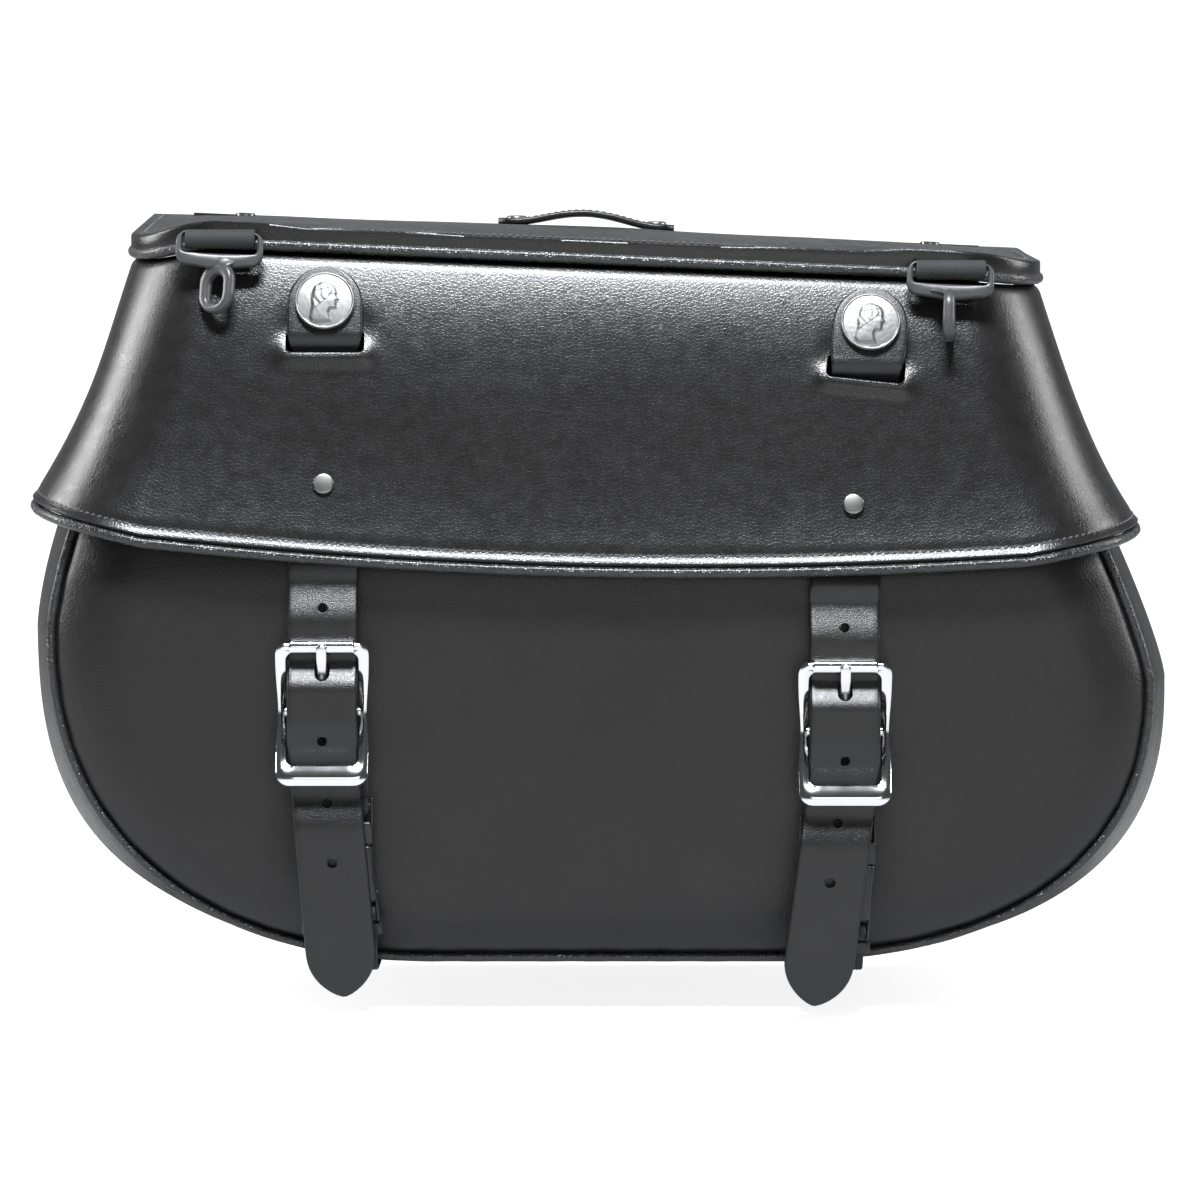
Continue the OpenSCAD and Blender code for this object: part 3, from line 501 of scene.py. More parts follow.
LEATHER = leather("leather", (0.0095, 0.0088, 0.0086), 0.4, 0.0013, 0.00005, coat=0.1, spec=0.4)
LID_LEATHER = leather("lid_leather", (0.0085, 0.0081, 0.008), 0.29, 0.0013, 0.00003, coat=0.12)
STRAP_LEATHER = leather("strap_leather", (0.006, 0.0057, 0.0056), 0.36, 0.0009, 0.00003, coat=0.1)
EDGE_PIPE = leather("piping", (0.017, 0.0168, 0.017), 0.28, 0.0012, 0.00012, coat=0.3)
FLESH = material("flesh_side", (0.035, 0.032, 0.03), 0.9, grain=(0.0004, 0.0001, "noise"), spec=0.2)
BOARD = material("board", (0.02, 0.02, 0.02), 0.7, grain=(0.0008, 0.00005, "noise"))
THREAD = material("thread", (0.085, 0.083, 0.083), 0.6, grain=(0.0003, 0.00005, "noise"))
WEB = material("webbing", (0.03, 0.03, 0.031), 0.75, grain=(0.0003, 0.00008, "noise"), spec=0.35)
PLASTIC = material("black_plastic", (0.012, 0.012, 0.0125), 0.32, grain=(0.0005, 0.00001, "noise"))
HOOK = material("hook_plastic", (0.05, 0.05, 0.052), 0.36, grain=(0.0006, 0.00002, "noise"), coat=0.1)
NICKEL = material("nickel", (0.28, 0.275, 0.265), 0.34, metal=1.0, mottling=0.06, rough_var=0.06)
COIN = material("concho_metal", (0.24, 0.24, 0.235), 0.46, metal=1.0, mottling=0.08, rough_var=0.07)
CHROME = material("chrome", (0.78, 0.78, 0.79), 0.12, metal=1.0, mottling=0.03, rough_var=0.04)

# ---------------------------------------------------------------- surfaces
def lid_z(x, y):
    return (
        LID_H - x * math.tan(SLOPE) + REAR_RISE * (1 + y / LID_D)
        - (7 * ease((-x - 140) / 36) + 1.5 * ease((x - 128) / 36)) * np.maximum(0, -y / LID_D)
    )


def web_window(x, s, edge=2.5):
    """How far x lies within the width of hook webbing s, 0 to 1, eased over edge."""
    return ease((STRAP_W / 2 + edge - np.abs(x - HOOK_X[s])) / edge)


def lid_top_z(x, y):
    across = 1 - np.clip(np.abs(x - LID_X) / LID_TOP_W, 0, 1) ** 4
    crown = CROWN * np.sin(math.pi * np.clip(-y / LID_D, 0, 1)) * across
    return lid_z(x, y) + PIPE + SEAM_GAP + BAND_H + crown


def body_top(x):
    return MOUTH_H - x * math.tan(SLOPE)


def seam_y(z):
    return -(SEAM_D - LEAN * np.maximum(0, (z - LEAN_H) / (MOUTH_H - LEAN_H)) ** 1.3)


def half_outline(right, e, nu=40, na=70, nb=20):
    w = (RIGHT_W if right else LEFT_W) + FLARE * e
    wt = (RIGHT_MOUTH if right else LEFT_MOUTH) + FLARE * e
    zw = RIGHT_BELLY if right else LEFT_BELLY
    zb = BASE_LIFT * (1 - e)
    zm = body_top(wt if right else -wt)
    n = (RIGHT_ROUND if right else LEFT_ROUND) + ROUND_GAIN * e
    p = RIGHT_TAPER if right else LEFT_TAPER
    t = 1 - np.arange(nu) / nu
    up = np.stack([wt + (w - wt) * (1 - t ** p), mix(zw, zm, t)], 1)
    a = np.radians(90 * np.arange(na) / na)
    arc = np.stack([BASE_HALF + (w - BASE_HALF) * np.cos(a) ** (2 / n), mix(zw, zb, np.sin(a) ** (2 / n))], 1)
    b = np.arange(nb + 1) / nb
    base = np.stack([BASE_HALF * (1 - b), np.full(nb + 1, zb)], 1)
    return np.vstack([up, arc, base])


def outline(e):
    left = half_outline(False, e) * [-1, 1]
    right = half_outline(True, e)[::-1][1:]
    return np.vstack([left, right])


def inset(path, d):
    t = unit(np.gradient(path, axis=0))
    return path + np.reshape(d, (-1, 1)) * np.stack([-t[:, 1], t[:, 0]], 1)


def skirt_front(v):
    return LID_D + SHOULDER * (1 - (1 - v) ** 4) + LID_FLARE * (0.6 * v + 0.4 * v ** 3)


def skirt_half(v):
    return mix(LID_TOP_W, LID_LOW_W, 0.75 * v + 0.25 * v ** 3)


def plan(v, thick=0.0, nf=34, nc=36, nm=130, d=None, w=None, r=None):
    """Plan path of the lid at v down its skirt: (n, 3) of x, y and how far it has turned to the front."""
    w = (skirt_half(v) if w is None else w) - thick
    f = (skirt_front(v) if d is None else d) - thick
    r = (CORNER + 10 * v if r is None else r) - thick
    k = np.arange(nf) / nf
    flank = np.stack([np.full(nf, LID_X - w), -mix(9, f - r, k), np.zeros(nf)], 1)
    a = np.radians(90 * np.arange(nc) / nc)
    corner = np.stack([LID_X - w + r * (1 - np.cos(a)), -(f - r + r * np.sin(a)), a / (math.pi / 2)], 1)
    m = np.arange(nm // 2) / (nm // 2)
    front = np.stack([LID_X - (w - r) * (1 - m), np.full(nm // 2, -f), np.ones(nm // 2)], 1)
    left = np.vstack([flank, corner, front])
    mid = np.array([[LID_X, -f, 1.0]])
    right = left[::-1] * [-1, 1, 1] + [2 * LID_X, 0, 0]
    return np.vstack([left, mid, right])


def low_z(x, turned):
    return LOW_H + 6.2 * (x / 150) ** 2 - 0.0185 * x + 8 * (1 - turned)


def skirt_row(v, thick=0.0):
    p = plan(v, thick)
    z0 = lid_z(p[:, 0], p[:, 1]) - PIPE - SEAM_GAP
    return np.stack([p[:, 0], p[:, 1], mix(z0, low_z(p[:, 0], p[:, 2]), v)], 1)


def skirt_y(z, x):
    z0 = lid_z(x, -LID_D) - PIPE - SEAM_GAP
    return -skirt_front(np.clip((z0 - z) / (z0 - low_z(x, 1.0)), 0, 1.2))


def skirt_at(s, z):
    up, lean = z - PIVOT_H, LEAN_TAB[s]
    return skirt_y(PIVOT_H + up * math.cos(lean) - DROP[s], STRAP_X[s] + up * math.sin(lean))


def tab_place(p, s):
    """From the straight strap's frame to the bag: the tab leans on the right."""
    p = np.asarray(p, float)
    q = turn(p, np.array([0, 0, PIVOT_H]), (0, 1, 0), LEAN_TAB[s])
    return q + [STRAP_X[s], 0, -DROP[s]]


def hang_place(p, s):
    return np.asarray(p, float) + [STRAP_X[s], 0, -DROP[s]]


def crossbar(half, y, z, n):
    """Level path across the strap."""
    return np.stack([np.linspace(-half, half, n), np.full(n, y), np.full(n, z)], 1)


# ---------------------------------------------------------------- body
def gusset():
    b = Build()
    ts = np.concatenate([[0, 0.012, 0.03], np.linspace(0.06, 0.97, 26), [0.985, 1.0]])
    rows, inner = [], []
    for t in ts:
        e = math.sin(math.pi / 2 * min(1, t / 0.5))
        o = outline(e)
        tuck = 2.2 * math.exp(-t / 0.012) + 1.6 * math.exp(-(1 - t) / 0.012)
        s = distances(o)
        y = mix(seam_y(o[:, 1]) + 0.3, -BACK_T - 1.0, t)
        p3 = np.stack([o[:, 0], y, o[:, 1]], 1)
        pucker = 0.22 * np.exp(-t / 0.05) * np.sin(s / 1.45 + 2 * np.sin(s / 23))
        sag = 0.55 * math.sin(math.pi * t) * waves(p3, 90, 3)
        s0 = np.interp(124, o[len(o) // 2:, 0], s[len(o) // 2:])
        step = 1 / (1 + np.exp((s - s0) / 0.9)) - 0.5
        pleat = 1.5 * step * np.exp(-(((s - s0) / 12) ** 2)) * (1 - 0.6 * t)
        q = inset(o, tuck - pucker - sag - pleat)
        q[:, 1] = np.where(q[:, 1] < 0.2, np.maximum(q[:, 1], -0.2), q[:, 1])
        rows.append(np.stack([q[:, 0], y, q[:, 1]], 1))
        i = inset(o, tuck + HIDE - 0.4)
        inner.append(np.stack([i[:, 0], y, i[:, 1]], 1))
    rows, inner = np.array(rows), np.array(inner)
    b.grid(rows)
    b.grid(inner, flip=True, mat=1)
    b.grid(np.stack([rows[0], inner[0]]), flip=True)
    b.grid(np.stack([rows[-1], inner[-1]]))
    b.grid(np.stack([rows[:, 0], inner[:, 0]], 1), flip=False)
    b.grid(np.stack([rows[:, -1], inner[:, -1]], 1), flip=True)
    b.make("gusset", "body", [LEATHER, FLESH], ["gusset"], angle=50)


def front_panel():
    b = Build()
    edge = inset(outline(0), 2.4)
    edge = resample(edge, 300)
    top = np.linspace(edge[-1], edge[0], 62)[1:-1]
    ring = np.vstack([edge, top])
    mid = np.array([0, LEAN_H - 25])
    ks = np.concatenate([1 - np.linspace(0, 1, 22) ** 1.7 * 0.34, np.linspace(0.62, 0.04, 16)])
    p2 = mid + ks[:, None, None] * (ring - mid)
    seam = np.vstack([ring, ring[:1]])
    dist = np.full(p2.shape[:2], 1e9)
    for i in range(0, len(seam) - 1, 2):
        a, c = seam[i], seam[min(i + 2, len(seam) - 1)]
        ac = c - a
        h = np.clip(((p2 - a) @ ac) / (ac @ ac), 0, 1)
        dist = np.minimum(dist, np.linalg.norm(p2 - (a + h[..., None] * ac), axis=-1))
    roll = 1 - (1 - np.clip(dist / 30, 0, 1)) ** 2.5
    quick = np.sqrt(np.clip(dist / 3.0, 0, 1))
    y = seam_y(p2[..., 1]) + 1.6 - 2.4 * quick - (BULGE - 1.4) * roll - 1.0 * (1 - ks[:, None] ** 2)
    p3 = np.stack([p2[..., 0], y, p2[..., 1]], -1)
    p3[..., 1] += 0.45 * waves(p3, 120, 5) * np.clip(dist / 25, 0, 1)
    i = np.arange(len(ring))
    p3[..., 1] += 0.16 * np.sin(i * 0.9 + 2 * np.sin(i / 9))[None] * np.exp(-dist / 5)
    b.grid(p3, wrap_c=True)
    b.cap(p3[-1], flip=True)
    back = p3.copy()
    back[..., 1] += HIDE - 0.3
    b.grid(back, wrap_c=True, flip=True, mat=1)
    b.cap(back[-1], mat=1)
    b.grid(np.stack([p3[0], back[0]]), wrap_c=True, flip=True)
    b.make("front_panel", "body", [LEATHER, FLESH], ["front_panel"], angle=60)


def body_piping(name, e, y_of, radius, depth):
    b = Build()
    o = resample(inset(outline(e), depth), 420)
    path = np.stack([o[:, 0], y_of(o[:, 1]), o[:, 1]], 1)
    b.tube(path, lumpy(len(path), radius, 0.035, 0.7, 0.13), sides=12, up=(0, -1, 0))
    b.make(name, "body", [EDGE_PIPE], [name])


def z_back(x):
    return lid_z(0, 0) - 3.2 - x * math.tan(SLOPE)


def back_panel():
    b = Build()
    o = resample(inset(outline(1), 2.2), 220)
    l, r = o[0], o[-1]
    ring = np.vstack([o, [[r[0] - 1.5, (r[1] + z_back(r[0])) / 2], [r[0] - 3, z_back(r[0] - 3)]],
                      np.linspace([r[0] - 6, z_back(r[0] - 6)], [l[0] + 6, z_back(l[0] + 6)], 40),
                      [[l[0] + 3, z_back(l[0] + 3)], [l[0] + 1.5, (l[1] + z_back(l[0])) / 2]]])
    mid = np.array([0, 120.0])
    layers = []
    for y, k in ((-0.9, 1.0), (-0.35, 0.9985), (0.0, 0.995), (0.0, 0.96), (0.0, 0.5), (0.0, 0.02)):
        q = mid + k * (ring - mid)
        layers.append(np.stack([q[:, 0], np.full(len(q), y), q[:, 1]], 1))
    layers = np.array(layers)
    b.grid(layers, wrap_c=True)
    b.cap(layers[-1])
    inner = layers * [1, -1, 1] - [0, BACK_T, 0]
    b.grid(inner, wrap_c=True, flip=True, mat=1)
    b.cap(inner[-1], mat=1)
    b.grid(np.stack([layers[0], inner[0]]), wrap_c=True, flip=True)
    cut = Build()
    rim = 5.15 * np.stack([np.cos(circle(32)), np.sin(circle(32))], 1)
    for sx in (-1, 1):
        for sz in (-1, 1):
            peg(cut, rim + [sx * HOLE_X, MOUNT_H + sz * HOLE_Z], lambda p: p, (2, -8))
    b.make("back_panel", "body", [LEATHER, FLESH], ["back_panel"], angle=40, cut=cut)

def back_stitches():
    b = Build()
    o = resample(inset(outline(1), 8.5), 400)
    path = np.stack([o[:, 0], np.full(len(o), 0.0), o[:, 1]], 1)
    stitches(b, path, np.tile([0, 1.0, 0], (len(path), 1)), pitch=3.2)
    b.make("back_panel_stitches", "body", [THREAD], fix=False)


def mouth_binding():
    """Binding along the gusset's edges at the mouth."""
    b = Build()
    o = outline(1)
    for end in (0, -1):
        p = inset(o, HIDE / 2)[end]
        ys = np.linspace(-BACK_T - 4, float(seam_y(MOUTH_H)) + 6, 40)
        path = np.stack([np.full(40, p[0]), ys, np.full(40, p[1] + 0.9)], 1)
        b.tube(path, 2.3, sides=14, squash=1.25)
    b.make("mouth_binding", "body", [EDGE_PIPE], ["mouth_binding"])


def slot_press(outer, s):
    """How far the skirt stands out round slot s: a swelling below and beside it, a dip above."""
    c = tab_place([[0, 0, SLOT_Z[s]]], s)[0]
    x, z = outer[..., 0] - c[0], outer[..., 2] - c[2]
    cos, sin = math.cos(LEAN_TAB[s]), math.sin(LEAN_TAB[s])
    x, z = x * cos - z * sin, z * cos + x * sin
    ax, az = np.maximum(np.abs(x) - 13.5, 0), np.where(z > 0, z, 0)
    u = np.hypot(ax, np.where(z < 0, z, 0)) - 1.2
    swell = 1.5 * np.exp(-((u / 3.2) ** 2)) * np.exp(-((az / 5) ** 2))
    dip = 0.8 * np.exp(-((ax / 4) ** 2)) * np.exp(-(((z - 9) / 6) ** 2))
    return (swell - dip) * (outer[..., 1] < -LID_D + 4)


def lid_skirt():
    b = Build()
    hem = [0.95, 0.965, 0.978, 0.988, 0.995, 1.0]
    vs = np.concatenate([np.linspace(0, 0.12, 12)[:-1], np.linspace(0.12, 0.93, 74), hem])
    outer = np.array([skirt_row(v) for v in vs])
    inner = np.array([skirt_row(v, HIDE) for v in vs])
    # direction out of the skirt, level
    nrm = unit((outer - inner) * [1, 1, 0])
    vv = vs[:, None]
    wobble = 0.6 * waves(outer, 130, 21) * np.sin(math.pi * np.clip(vv, 0, 1)) ** 0.7
    seamline = -0.5 * np.exp(-(((vv - 0.962) / 0.012) ** 2)) + 0.3 * np.exp(-(((vv - 0.985) / 0.012) ** 2))
    roll_low = -1.3 * np.clip((vv - 0.985) / 0.015, 0, 1) ** 2
    roll_top = -1.6 * (1 - np.clip(vv / 0.03, 0, 1)) ** 2
    press = slot_press(outer, 0) + slot_press(outer, 1)
    outer = outer + nrm * (wobble + seamline + roll_low + roll_top + press)[..., None]
    inner = inner + nrm * (wobble + press * 0.6)[..., None]
    b.grid(outer, flip=True)
    b.grid(inner, mat=1)
    b.grid(np.stack([outer[-1], inner[-1]]), flip=True)
    b.grid(np.stack([outer[0], inner[0]]))
    b.grid(np.stack([outer[:, 0], inner[:, 0]], 1))
    b.grid(np.stack([outer[:, -1], inner[:, -1]], 1), flip=True)
    cut = Build()
    for s in (0, 1):
        slot = edge_profile(STRAP_W + 3.4, 8.5, 1.8, 5) + [0, SLOT_Z[s] + 4.25]
        peg(cut, slot, lambda p: tab_place(p, s), (-112, -162))
    b.make("lid_skirt", "lid", [LID_LEATHER, FLESH], ["lid_skirt"], angle=50, cut=cut)


def slot_lips():
    """Raised lip under each slot, turned up at its ends."""
    b = Build()
    for s in (0, 1):
        a = np.radians(np.linspace(0, 90, 9))
        r = 2.6
        half = STRAP_W / 2 + 1.9
        bend = np.stack([half - r + r * np.cos(a), r - r * np.sin(a)], 1)
        right = np.concatenate([[[half, 4.6], [half, 3.4]], bend])
        line = np.vstack([right, np.stack([-right[::-1, 0], right[::-1, 1]], 1)])
        line = resample(line, 70)
        local = np.stack([line[:, 0], np.zeros(70), SLOT_Z[s] + line[:, 1] - 0.35], 1)
        local[:, 1] = [skirt_at(s, z) for z in local[:, 2]]
        fade = np.clip(np.minimum(np.arange(70), np.arange(70)[::-1]) / 12, 0, 1)
        local[:, 1] -= -0.6 + 1.35 * ease(fade)
        b.tube(tab_place(local, s), 0.25 + 0.72 * ease(fade), sides=10, up=(0, -1, 0.2))
    b.make("lid_slot_lips", "lid", [LID_LEATHER])


def lid_edge_stitches():
    b = Build()
    row = skirt_row(0.962)
    nn = unit(unit((row - skirt_row(0.962, HIDE)) * [1, 1, 0]) + [0, 0, 0.12])
    stitches(b, row - nn * 0.35, nn, pitch=2.7, size=(1.9, 0.4), slant=0.25)
    b.make("lid_edge_stitches", "lid", [THREAD], fix=False)


def lid_piping(name, path, n, radius):
    b = Build()
    b.tube(resample(path, n), lumpy(n, radius, 0.03, 0.8, 0.11), sides=14)
    b.make(name, "lid", [EDGE_PIPE], [name])


def lid_pipings():
    p = plan(0, d=LID_D, w=LID_TOP_W, r=CORNER)
    top = np.stack([p[:, 0], p[:, 1], lid_z(p[:, 0], p[:, 1]) + 0.1], 1)
    lid_piping("lid_top_piping", top, 520, 2.15)
    lid_piping("lid_edge_piping", skirt_row(1.0, HIDE / 2) - [0, 0, 2.15], 560, 1.95)


def lid_top():
    """Top with its edge band, which lifts where the hook webbing comes out under it."""
    b = Build()
    p = plan(0, d=LID_D + 0.9, w=LID_TOP_W + 0.9, r=CORNER)
    p = resample(p[:, :2], 420)
    rear = np.linspace([p[-1, 0], LID_REAR_Y], [p[0, 0], LID_REAR_Y], 60)
    ring = np.vstack([p, rear])
    mid = np.array([LID_X, -64.0])
    layers = []
    # share of the outline, and height over the seam for the band or over the top for the rest
    band = [(0.987, 0.9), (0.997, 1.1), (1.0, 1.9)]
    crown = [(1.0, -1.1), (0.9985, -0.4), (0.994, -0.05), (0.985, 0), (0.97, -0.05)]
    crown += [(k, 0) for k in (0.955, 0.93, 0.86, 0.7, 0.5, 0.25, 0.05)]
    for on_band, (k, h) in [(True, row) for row in band] + [(False, row) for row in crown]:
        q = mid + k * (ring - mid)
        q[:, 1] = np.minimum(q[:, 1], LID_REAR_Y)
        z = (lid_z if on_band else lid_top_z)(q[:, 0], q[:, 1]) + h
        at_front = ease((-q[:, 1] - LID_D + 30) / 28)
        for s in (0, 1):
            web_top = lid_z(HOOK_X[s], -LID_D) + 2.15 + WEB_T - (q[:, 0] - HOOK_X[s]) * math.tan(SLOPE)
            if on_band:
                z = mix(z, np.maximum(z, web_top + 0.1), web_window(q[:, 0], s, 1.5) * at_front)
            else:
                z = z + 1.5 * web_window(q[:, 0], s, 22) * at_front
        layers.append(np.stack([q[:, 0], q[:, 1], z], 1))
    layers = np.array(layers)
    layers[5:, :, 2] += 0.35 * waves(layers[5:], 80, 31)
    b.grid(layers, wrap_c=True)
    b.cap(layers[-1], flip=True)
    under = np.concatenate([layers[:1], layers[9:] - [0, 0, 4.0]])
    b.grid(under, wrap_c=True, flip=True, mat=1)
    b.cap(under[-1], mat=1)
    b.make("lid_top", "lid", [LID_LEATHER, FLESH], ["lid_top", "lid_board"], angle=50)


def lid_top_stitches():
    b = Build()
    q = plan(0, d=LID_D - 4.2, w=LID_TOP_W - 4.2, r=CORNER - 4)[:, :2]
    path = np.stack([q[:, 0], q[:, 1], lid_top_z(q[:, 0], q[:, 1])], 1)
    stitches(b, path, np.tile([0, 0, 1.0], (len(path), 1)), pitch=2.9)
    b.make("lid_top_stitches", "lid", [THREAD], fix=False)


def carry_handle():
    b = Build()
    u = np.linspace(-1, 1, 70)
    half = HANDLE_HALF + 7
    z0 = lid_top_z(LID_X, HANDLE_Y) + 1.4 - u * half * math.tan(SLOPE)
    rise = 4.2 * np.maximum(0, 1 - u * u * 1.5) ** 2
    path = np.stack([LID_X + u * half, np.full(70, HANDLE_Y), z0 + rise], 1)
    width = 20 - 7 * np.clip((np.abs(u) - 0.8) / 0.2, 0, 1) ** 2.5
    ribbon(b, path, width, 2.2, r=0.9, across=(0, 1, 0), flats=10)
    b.make("carry_handle", "lid", [STRAP_LEATHER], ["carry_handle"])
    b = Build()
    for k in (-1, 1):
        x = k * HANDLE_HALF
        c = np.array([LID_X + x, HANDLE_Y, lid_top_z(LID_X, HANDLE_Y) + 2.5 - x * math.tan(SLOPE)])
        disc(b, [(4.0, 0), (4.0, 0.5), (3.7, 0.95), (3.1, 1.2), (0, 1.3)], c, (0, 0, 1), 32)
    b.make("handle_rivets", "lid", [NICKEL], ["handle_rivets"])
    b = Build()
    for side in (-1, 1):
        path2 = path + [0, side * 8.2, 0]
        nn = unit(np.cross(np.gradient(path2, axis=0), [0, 1.0, 0])) * -1
        nn *= np.sign(nn[:, 2:3])
        stitches(b, path2[8:-8] + nn[8:-8] * 1.1, nn[8:-8], pitch=2.6, size=(1.8, 0.35))
    b.make("carry_handle_stitches", "lid", [THREAD], fix=False)


gusset()
front_panel()
body_piping("front_piping", 0, lambda z: seam_y(z) - 0.2, 1.75, 1.5)
body_piping("back_piping", 1, lambda z: z * 0 - BACK_T, 1.7, 1.9)
back_panel()
back_stitches()
mouth_binding()
lid_skirt()
slot_lips()
lid_edge_stitches()
lid_pipings()
lid_top()
lid_top_stitches()
carry_handle()


# ---------------------------------------------------------------- straps
def strap_y(z):
    return (
        PIVOT_Y - 6.4 * ease((PIVOT_H - z) / 20)
        - 5.6 * ease((ROLLER_H - 4.6 - z) / 12)
        + 3.2 * ease((BAR_H - 3.3 - z) / 14)
        - 3.2 * ease((LOW_BAR_H - 6.4 - z) / 14)
        + 1.5 * ease((20 - z) / 30)
    )


def tail(s, z):
    """Sideways drift of the strap's tail at height z."""
    return TAIL_LEAN[s] * np.maximum(0, 80 - z)


def strap(s):
    """Whole strap: tab, slot, run under the lid, then the hanging part."""
    side = SIDES[s]
    body = f"{side}_strap_body"
    b = Build()
    round_end = CONCHO_H + TAB_W / 2 * np.cos(np.radians(np.linspace(3, 88, 26)))
    zt = np.concatenate([round_end, np.linspace(239.5, PIVOT_H + 0.01, 110)])
    through = mix(-0.5 - STRAP_T / 2, HIDE + 0.8 + STRAP_T / 2, ease((SLOT_Z[s] + 7 - zt) / 9.5))
    yt = np.array([skirt_at(s, z) for z in zt]) + through + 1.6 * ease((162 - zt) / 10)
    chord = 2 * np.sqrt(np.maximum(0, (TAB_W / 2) ** 2 - (zt - CONCHO_H) ** 2))
    wt = np.where(zt > CONCHO_H, chord, mix(TAB_W, STRAP_W, ease((232 - zt) / 8)))
    upper = tab_place(np.stack([np.zeros(len(zt)), yt, zt], 1), s)
    zl = np.linspace(PIVOT_H - 1.2, TIP[s], 190)
    tt = np.clip((zl - TIP[s]) / 18, 0, 1)
    wl = STRAP_W * (0.08 + 0.92 * np.maximum(0, 1 - (1 - tt) ** 2.5) ** 0.8)
    lower = hang_place(np.stack([tail(s, zl), strap_y(zl), zl], 1), s)
    path = np.vstack([upper, lower])
    smooth(path[len(upper) - 15: len(upper) + 15], 12)
    width = np.concatenate([wt, wl])
    ribbon(b, path, width, STRAP_T, r=1.0, n=4, flats=14)
    cut = Build()
    a = circle(20)
    through = (-140, -180)
    for z in STRAP_HOLES:
        hole = np.stack([1.75 * np.cos(a) + tail(s, z), z + 1.75 * np.sin(a)], 1)
        peg(cut, hole, lambda p: hang_place(p, s), through)
    peg(cut, edge_profile(5.4, 7.6, 2.65, 8) + [0, TONGUE_SLOT_H], lambda p: hang_place(p, s), through)
    pv = hang_place([[0, PIVOT_Y, PIVOT_H]], s)[0] - [0, 0, MOUNT_H]
    start, end = (pv + [0, 0, 2.5]) * 0.001, (pv - [0, 0, 7]) * 0.001
    b.make(f"{side}_strap", None, [STRAP_LEATHER], [f"{side}_strap_tab", f"{side}_strap"],
           angle=55, cut=cut, blend=("lid", body, tuple(start), tuple(end)))
    # pressed rims round the holes
    b = Build()
    for z in STRAP_HOLES:
        above, below, y = strap_y(np.array([z + 0.5, z - 0.5, z]))
        x, up = 2.0 * np.cos(a), 2.0 * np.sin(a)
        ring = np.stack([x + tail(s, z), y - STRAP_T / 2 + 0.12 + (above - below) * up, z + up], 1)
        b.tube(hang_place(ring, s), 0.32, sides=8, up=(0, -1, 0), closed=True)
    b.make(f"{side}_strap_hole_rims", body, [STRAP_LEATHER])


def buckle_frame(s):
    """Rails that narrow and dip at the centre bar, open at the top, with a heavy bevelled lower bar."""
    side = SIDES[s]
    b = Build()
    mid = ROLLER_H + 2.6 - 26.5
    outer = resample(rounded(34.4, 53, 5.6, 12, 0, mid), 240, closed=True)
    inner = resample(rounded(26.2, 53 - 5.0 - 7.6, 2.6, 12, 0, mid + 1.3), 240, closed=True)
    a_o = np.unwrap(np.arctan2(outer[:, 1] - mid, outer[:, 0]))
    a_i = np.unwrap(np.arctan2(inner[:, 1] - mid, inner[:, 0]))
    inner = np.stack([np.interp(a_o, a_i, inner[:, k], period=2 * math.pi) for k in (0, 1)], 1)
    waist = np.exp(-(((outer[:, 1] - BAR_H) / 11) ** 2))
    outer[:, 0] *= 1 - 0.062 * waist
    waist = np.exp(-(((inner[:, 1] - BAR_H) / 12) ** 2))
    inner[:, 0] *= 1 + 0.02 * waist
    z = (outer[:, 1] + inner[:, 1]) / 2
    up = z > BAR_H
    ry = np.where(up, mix(RAIL_Y, ROLLER_Y, (np.clip(z - BAR_H, 0, None) / (ROLLER_H - BAR_H)) ** 1.6),
                  mix(RAIL_Y, LOW_BAR_Y, (np.clip(BAR_H - z, 0, None) / (BAR_H - LOW_BAR_H)) ** 1.6))
    ry = np.clip(ry, LOW_BAR_Y, None)
    thick = 3.6 + 0.6 * ease((LOW_BAR_H + 6 - z) / 6)
    low = [(-1, -0.75), (-1, -0.1), (-0.93, 0.1), (-0.6, 0.42), (-0.2, 0.8), (0.0, 0.92), (0.18, 0.97),
           (0.6, 0.9), (0.86, 0.74), (0.97, 0.45), (1, 0.1), (1, -0.5), (0.93, -0.85), (0.8, -0.95),
           (-0.8, -0.95), (-0.93, -0.88)]
    gap = (z > ROLLER_H - 4) & (np.abs((outer[:, 0] + inner[:, 0]) / 2) < 12.4)
    start = int(np.flatnonzero(gap & ~np.roll(gap, -1))[0]) + 1
    order = np.roll(np.arange(240), -start)[: 240 - int(gap.sum())]
    frame_ring(b, outer[order], inner[order], ry[order], thick[order], low,
               lambda p: hang_place(p, s), closed=False)
    b.tube(hang_place(crossbar(13.6, ROLLER_Y, ROLLER_H, 6), s), BAR_R - 0.05, sides=20)
    b.tube(hang_place(crossbar(14.6, BAR_Y, BAR_H, 12), s), BAR_R, sides=20)
    name = f"{side}_buckle_frame"
    b.make(name, f"{side}_strap_body", [CHROME], [name], angle=28)


def buckle_roller(s):
    """Tube of rolled sheet that turns on the frame's upper bar."""
    side = SIDES[s]
    b = Build()
    end = [(0, 1.9), (0, 2.35), (0.1, 2.6), (0.5, 2.75), (0.9, 2.75)]
    profile = [(d - ROLLER_HALF, q) for d, q in end] + [(ROLLER_HALF - d, q) for d, q in end[::-1]]
    spokes = [(math.cos(w), math.sin(w)) for w in circle(32)]
    ring = np.array([[[x, ROLLER_Y + q * c, ROLLER_H + q * d] for c, d in spokes] for x, q in profile])
    b.grid(hang_place(ring, s), wrap_r=True, wrap_c=True)
    name = f"{side}_buckle_roller"
    b.make(name, f"{side}_roller_body", [CHROME], [name], angle=30)


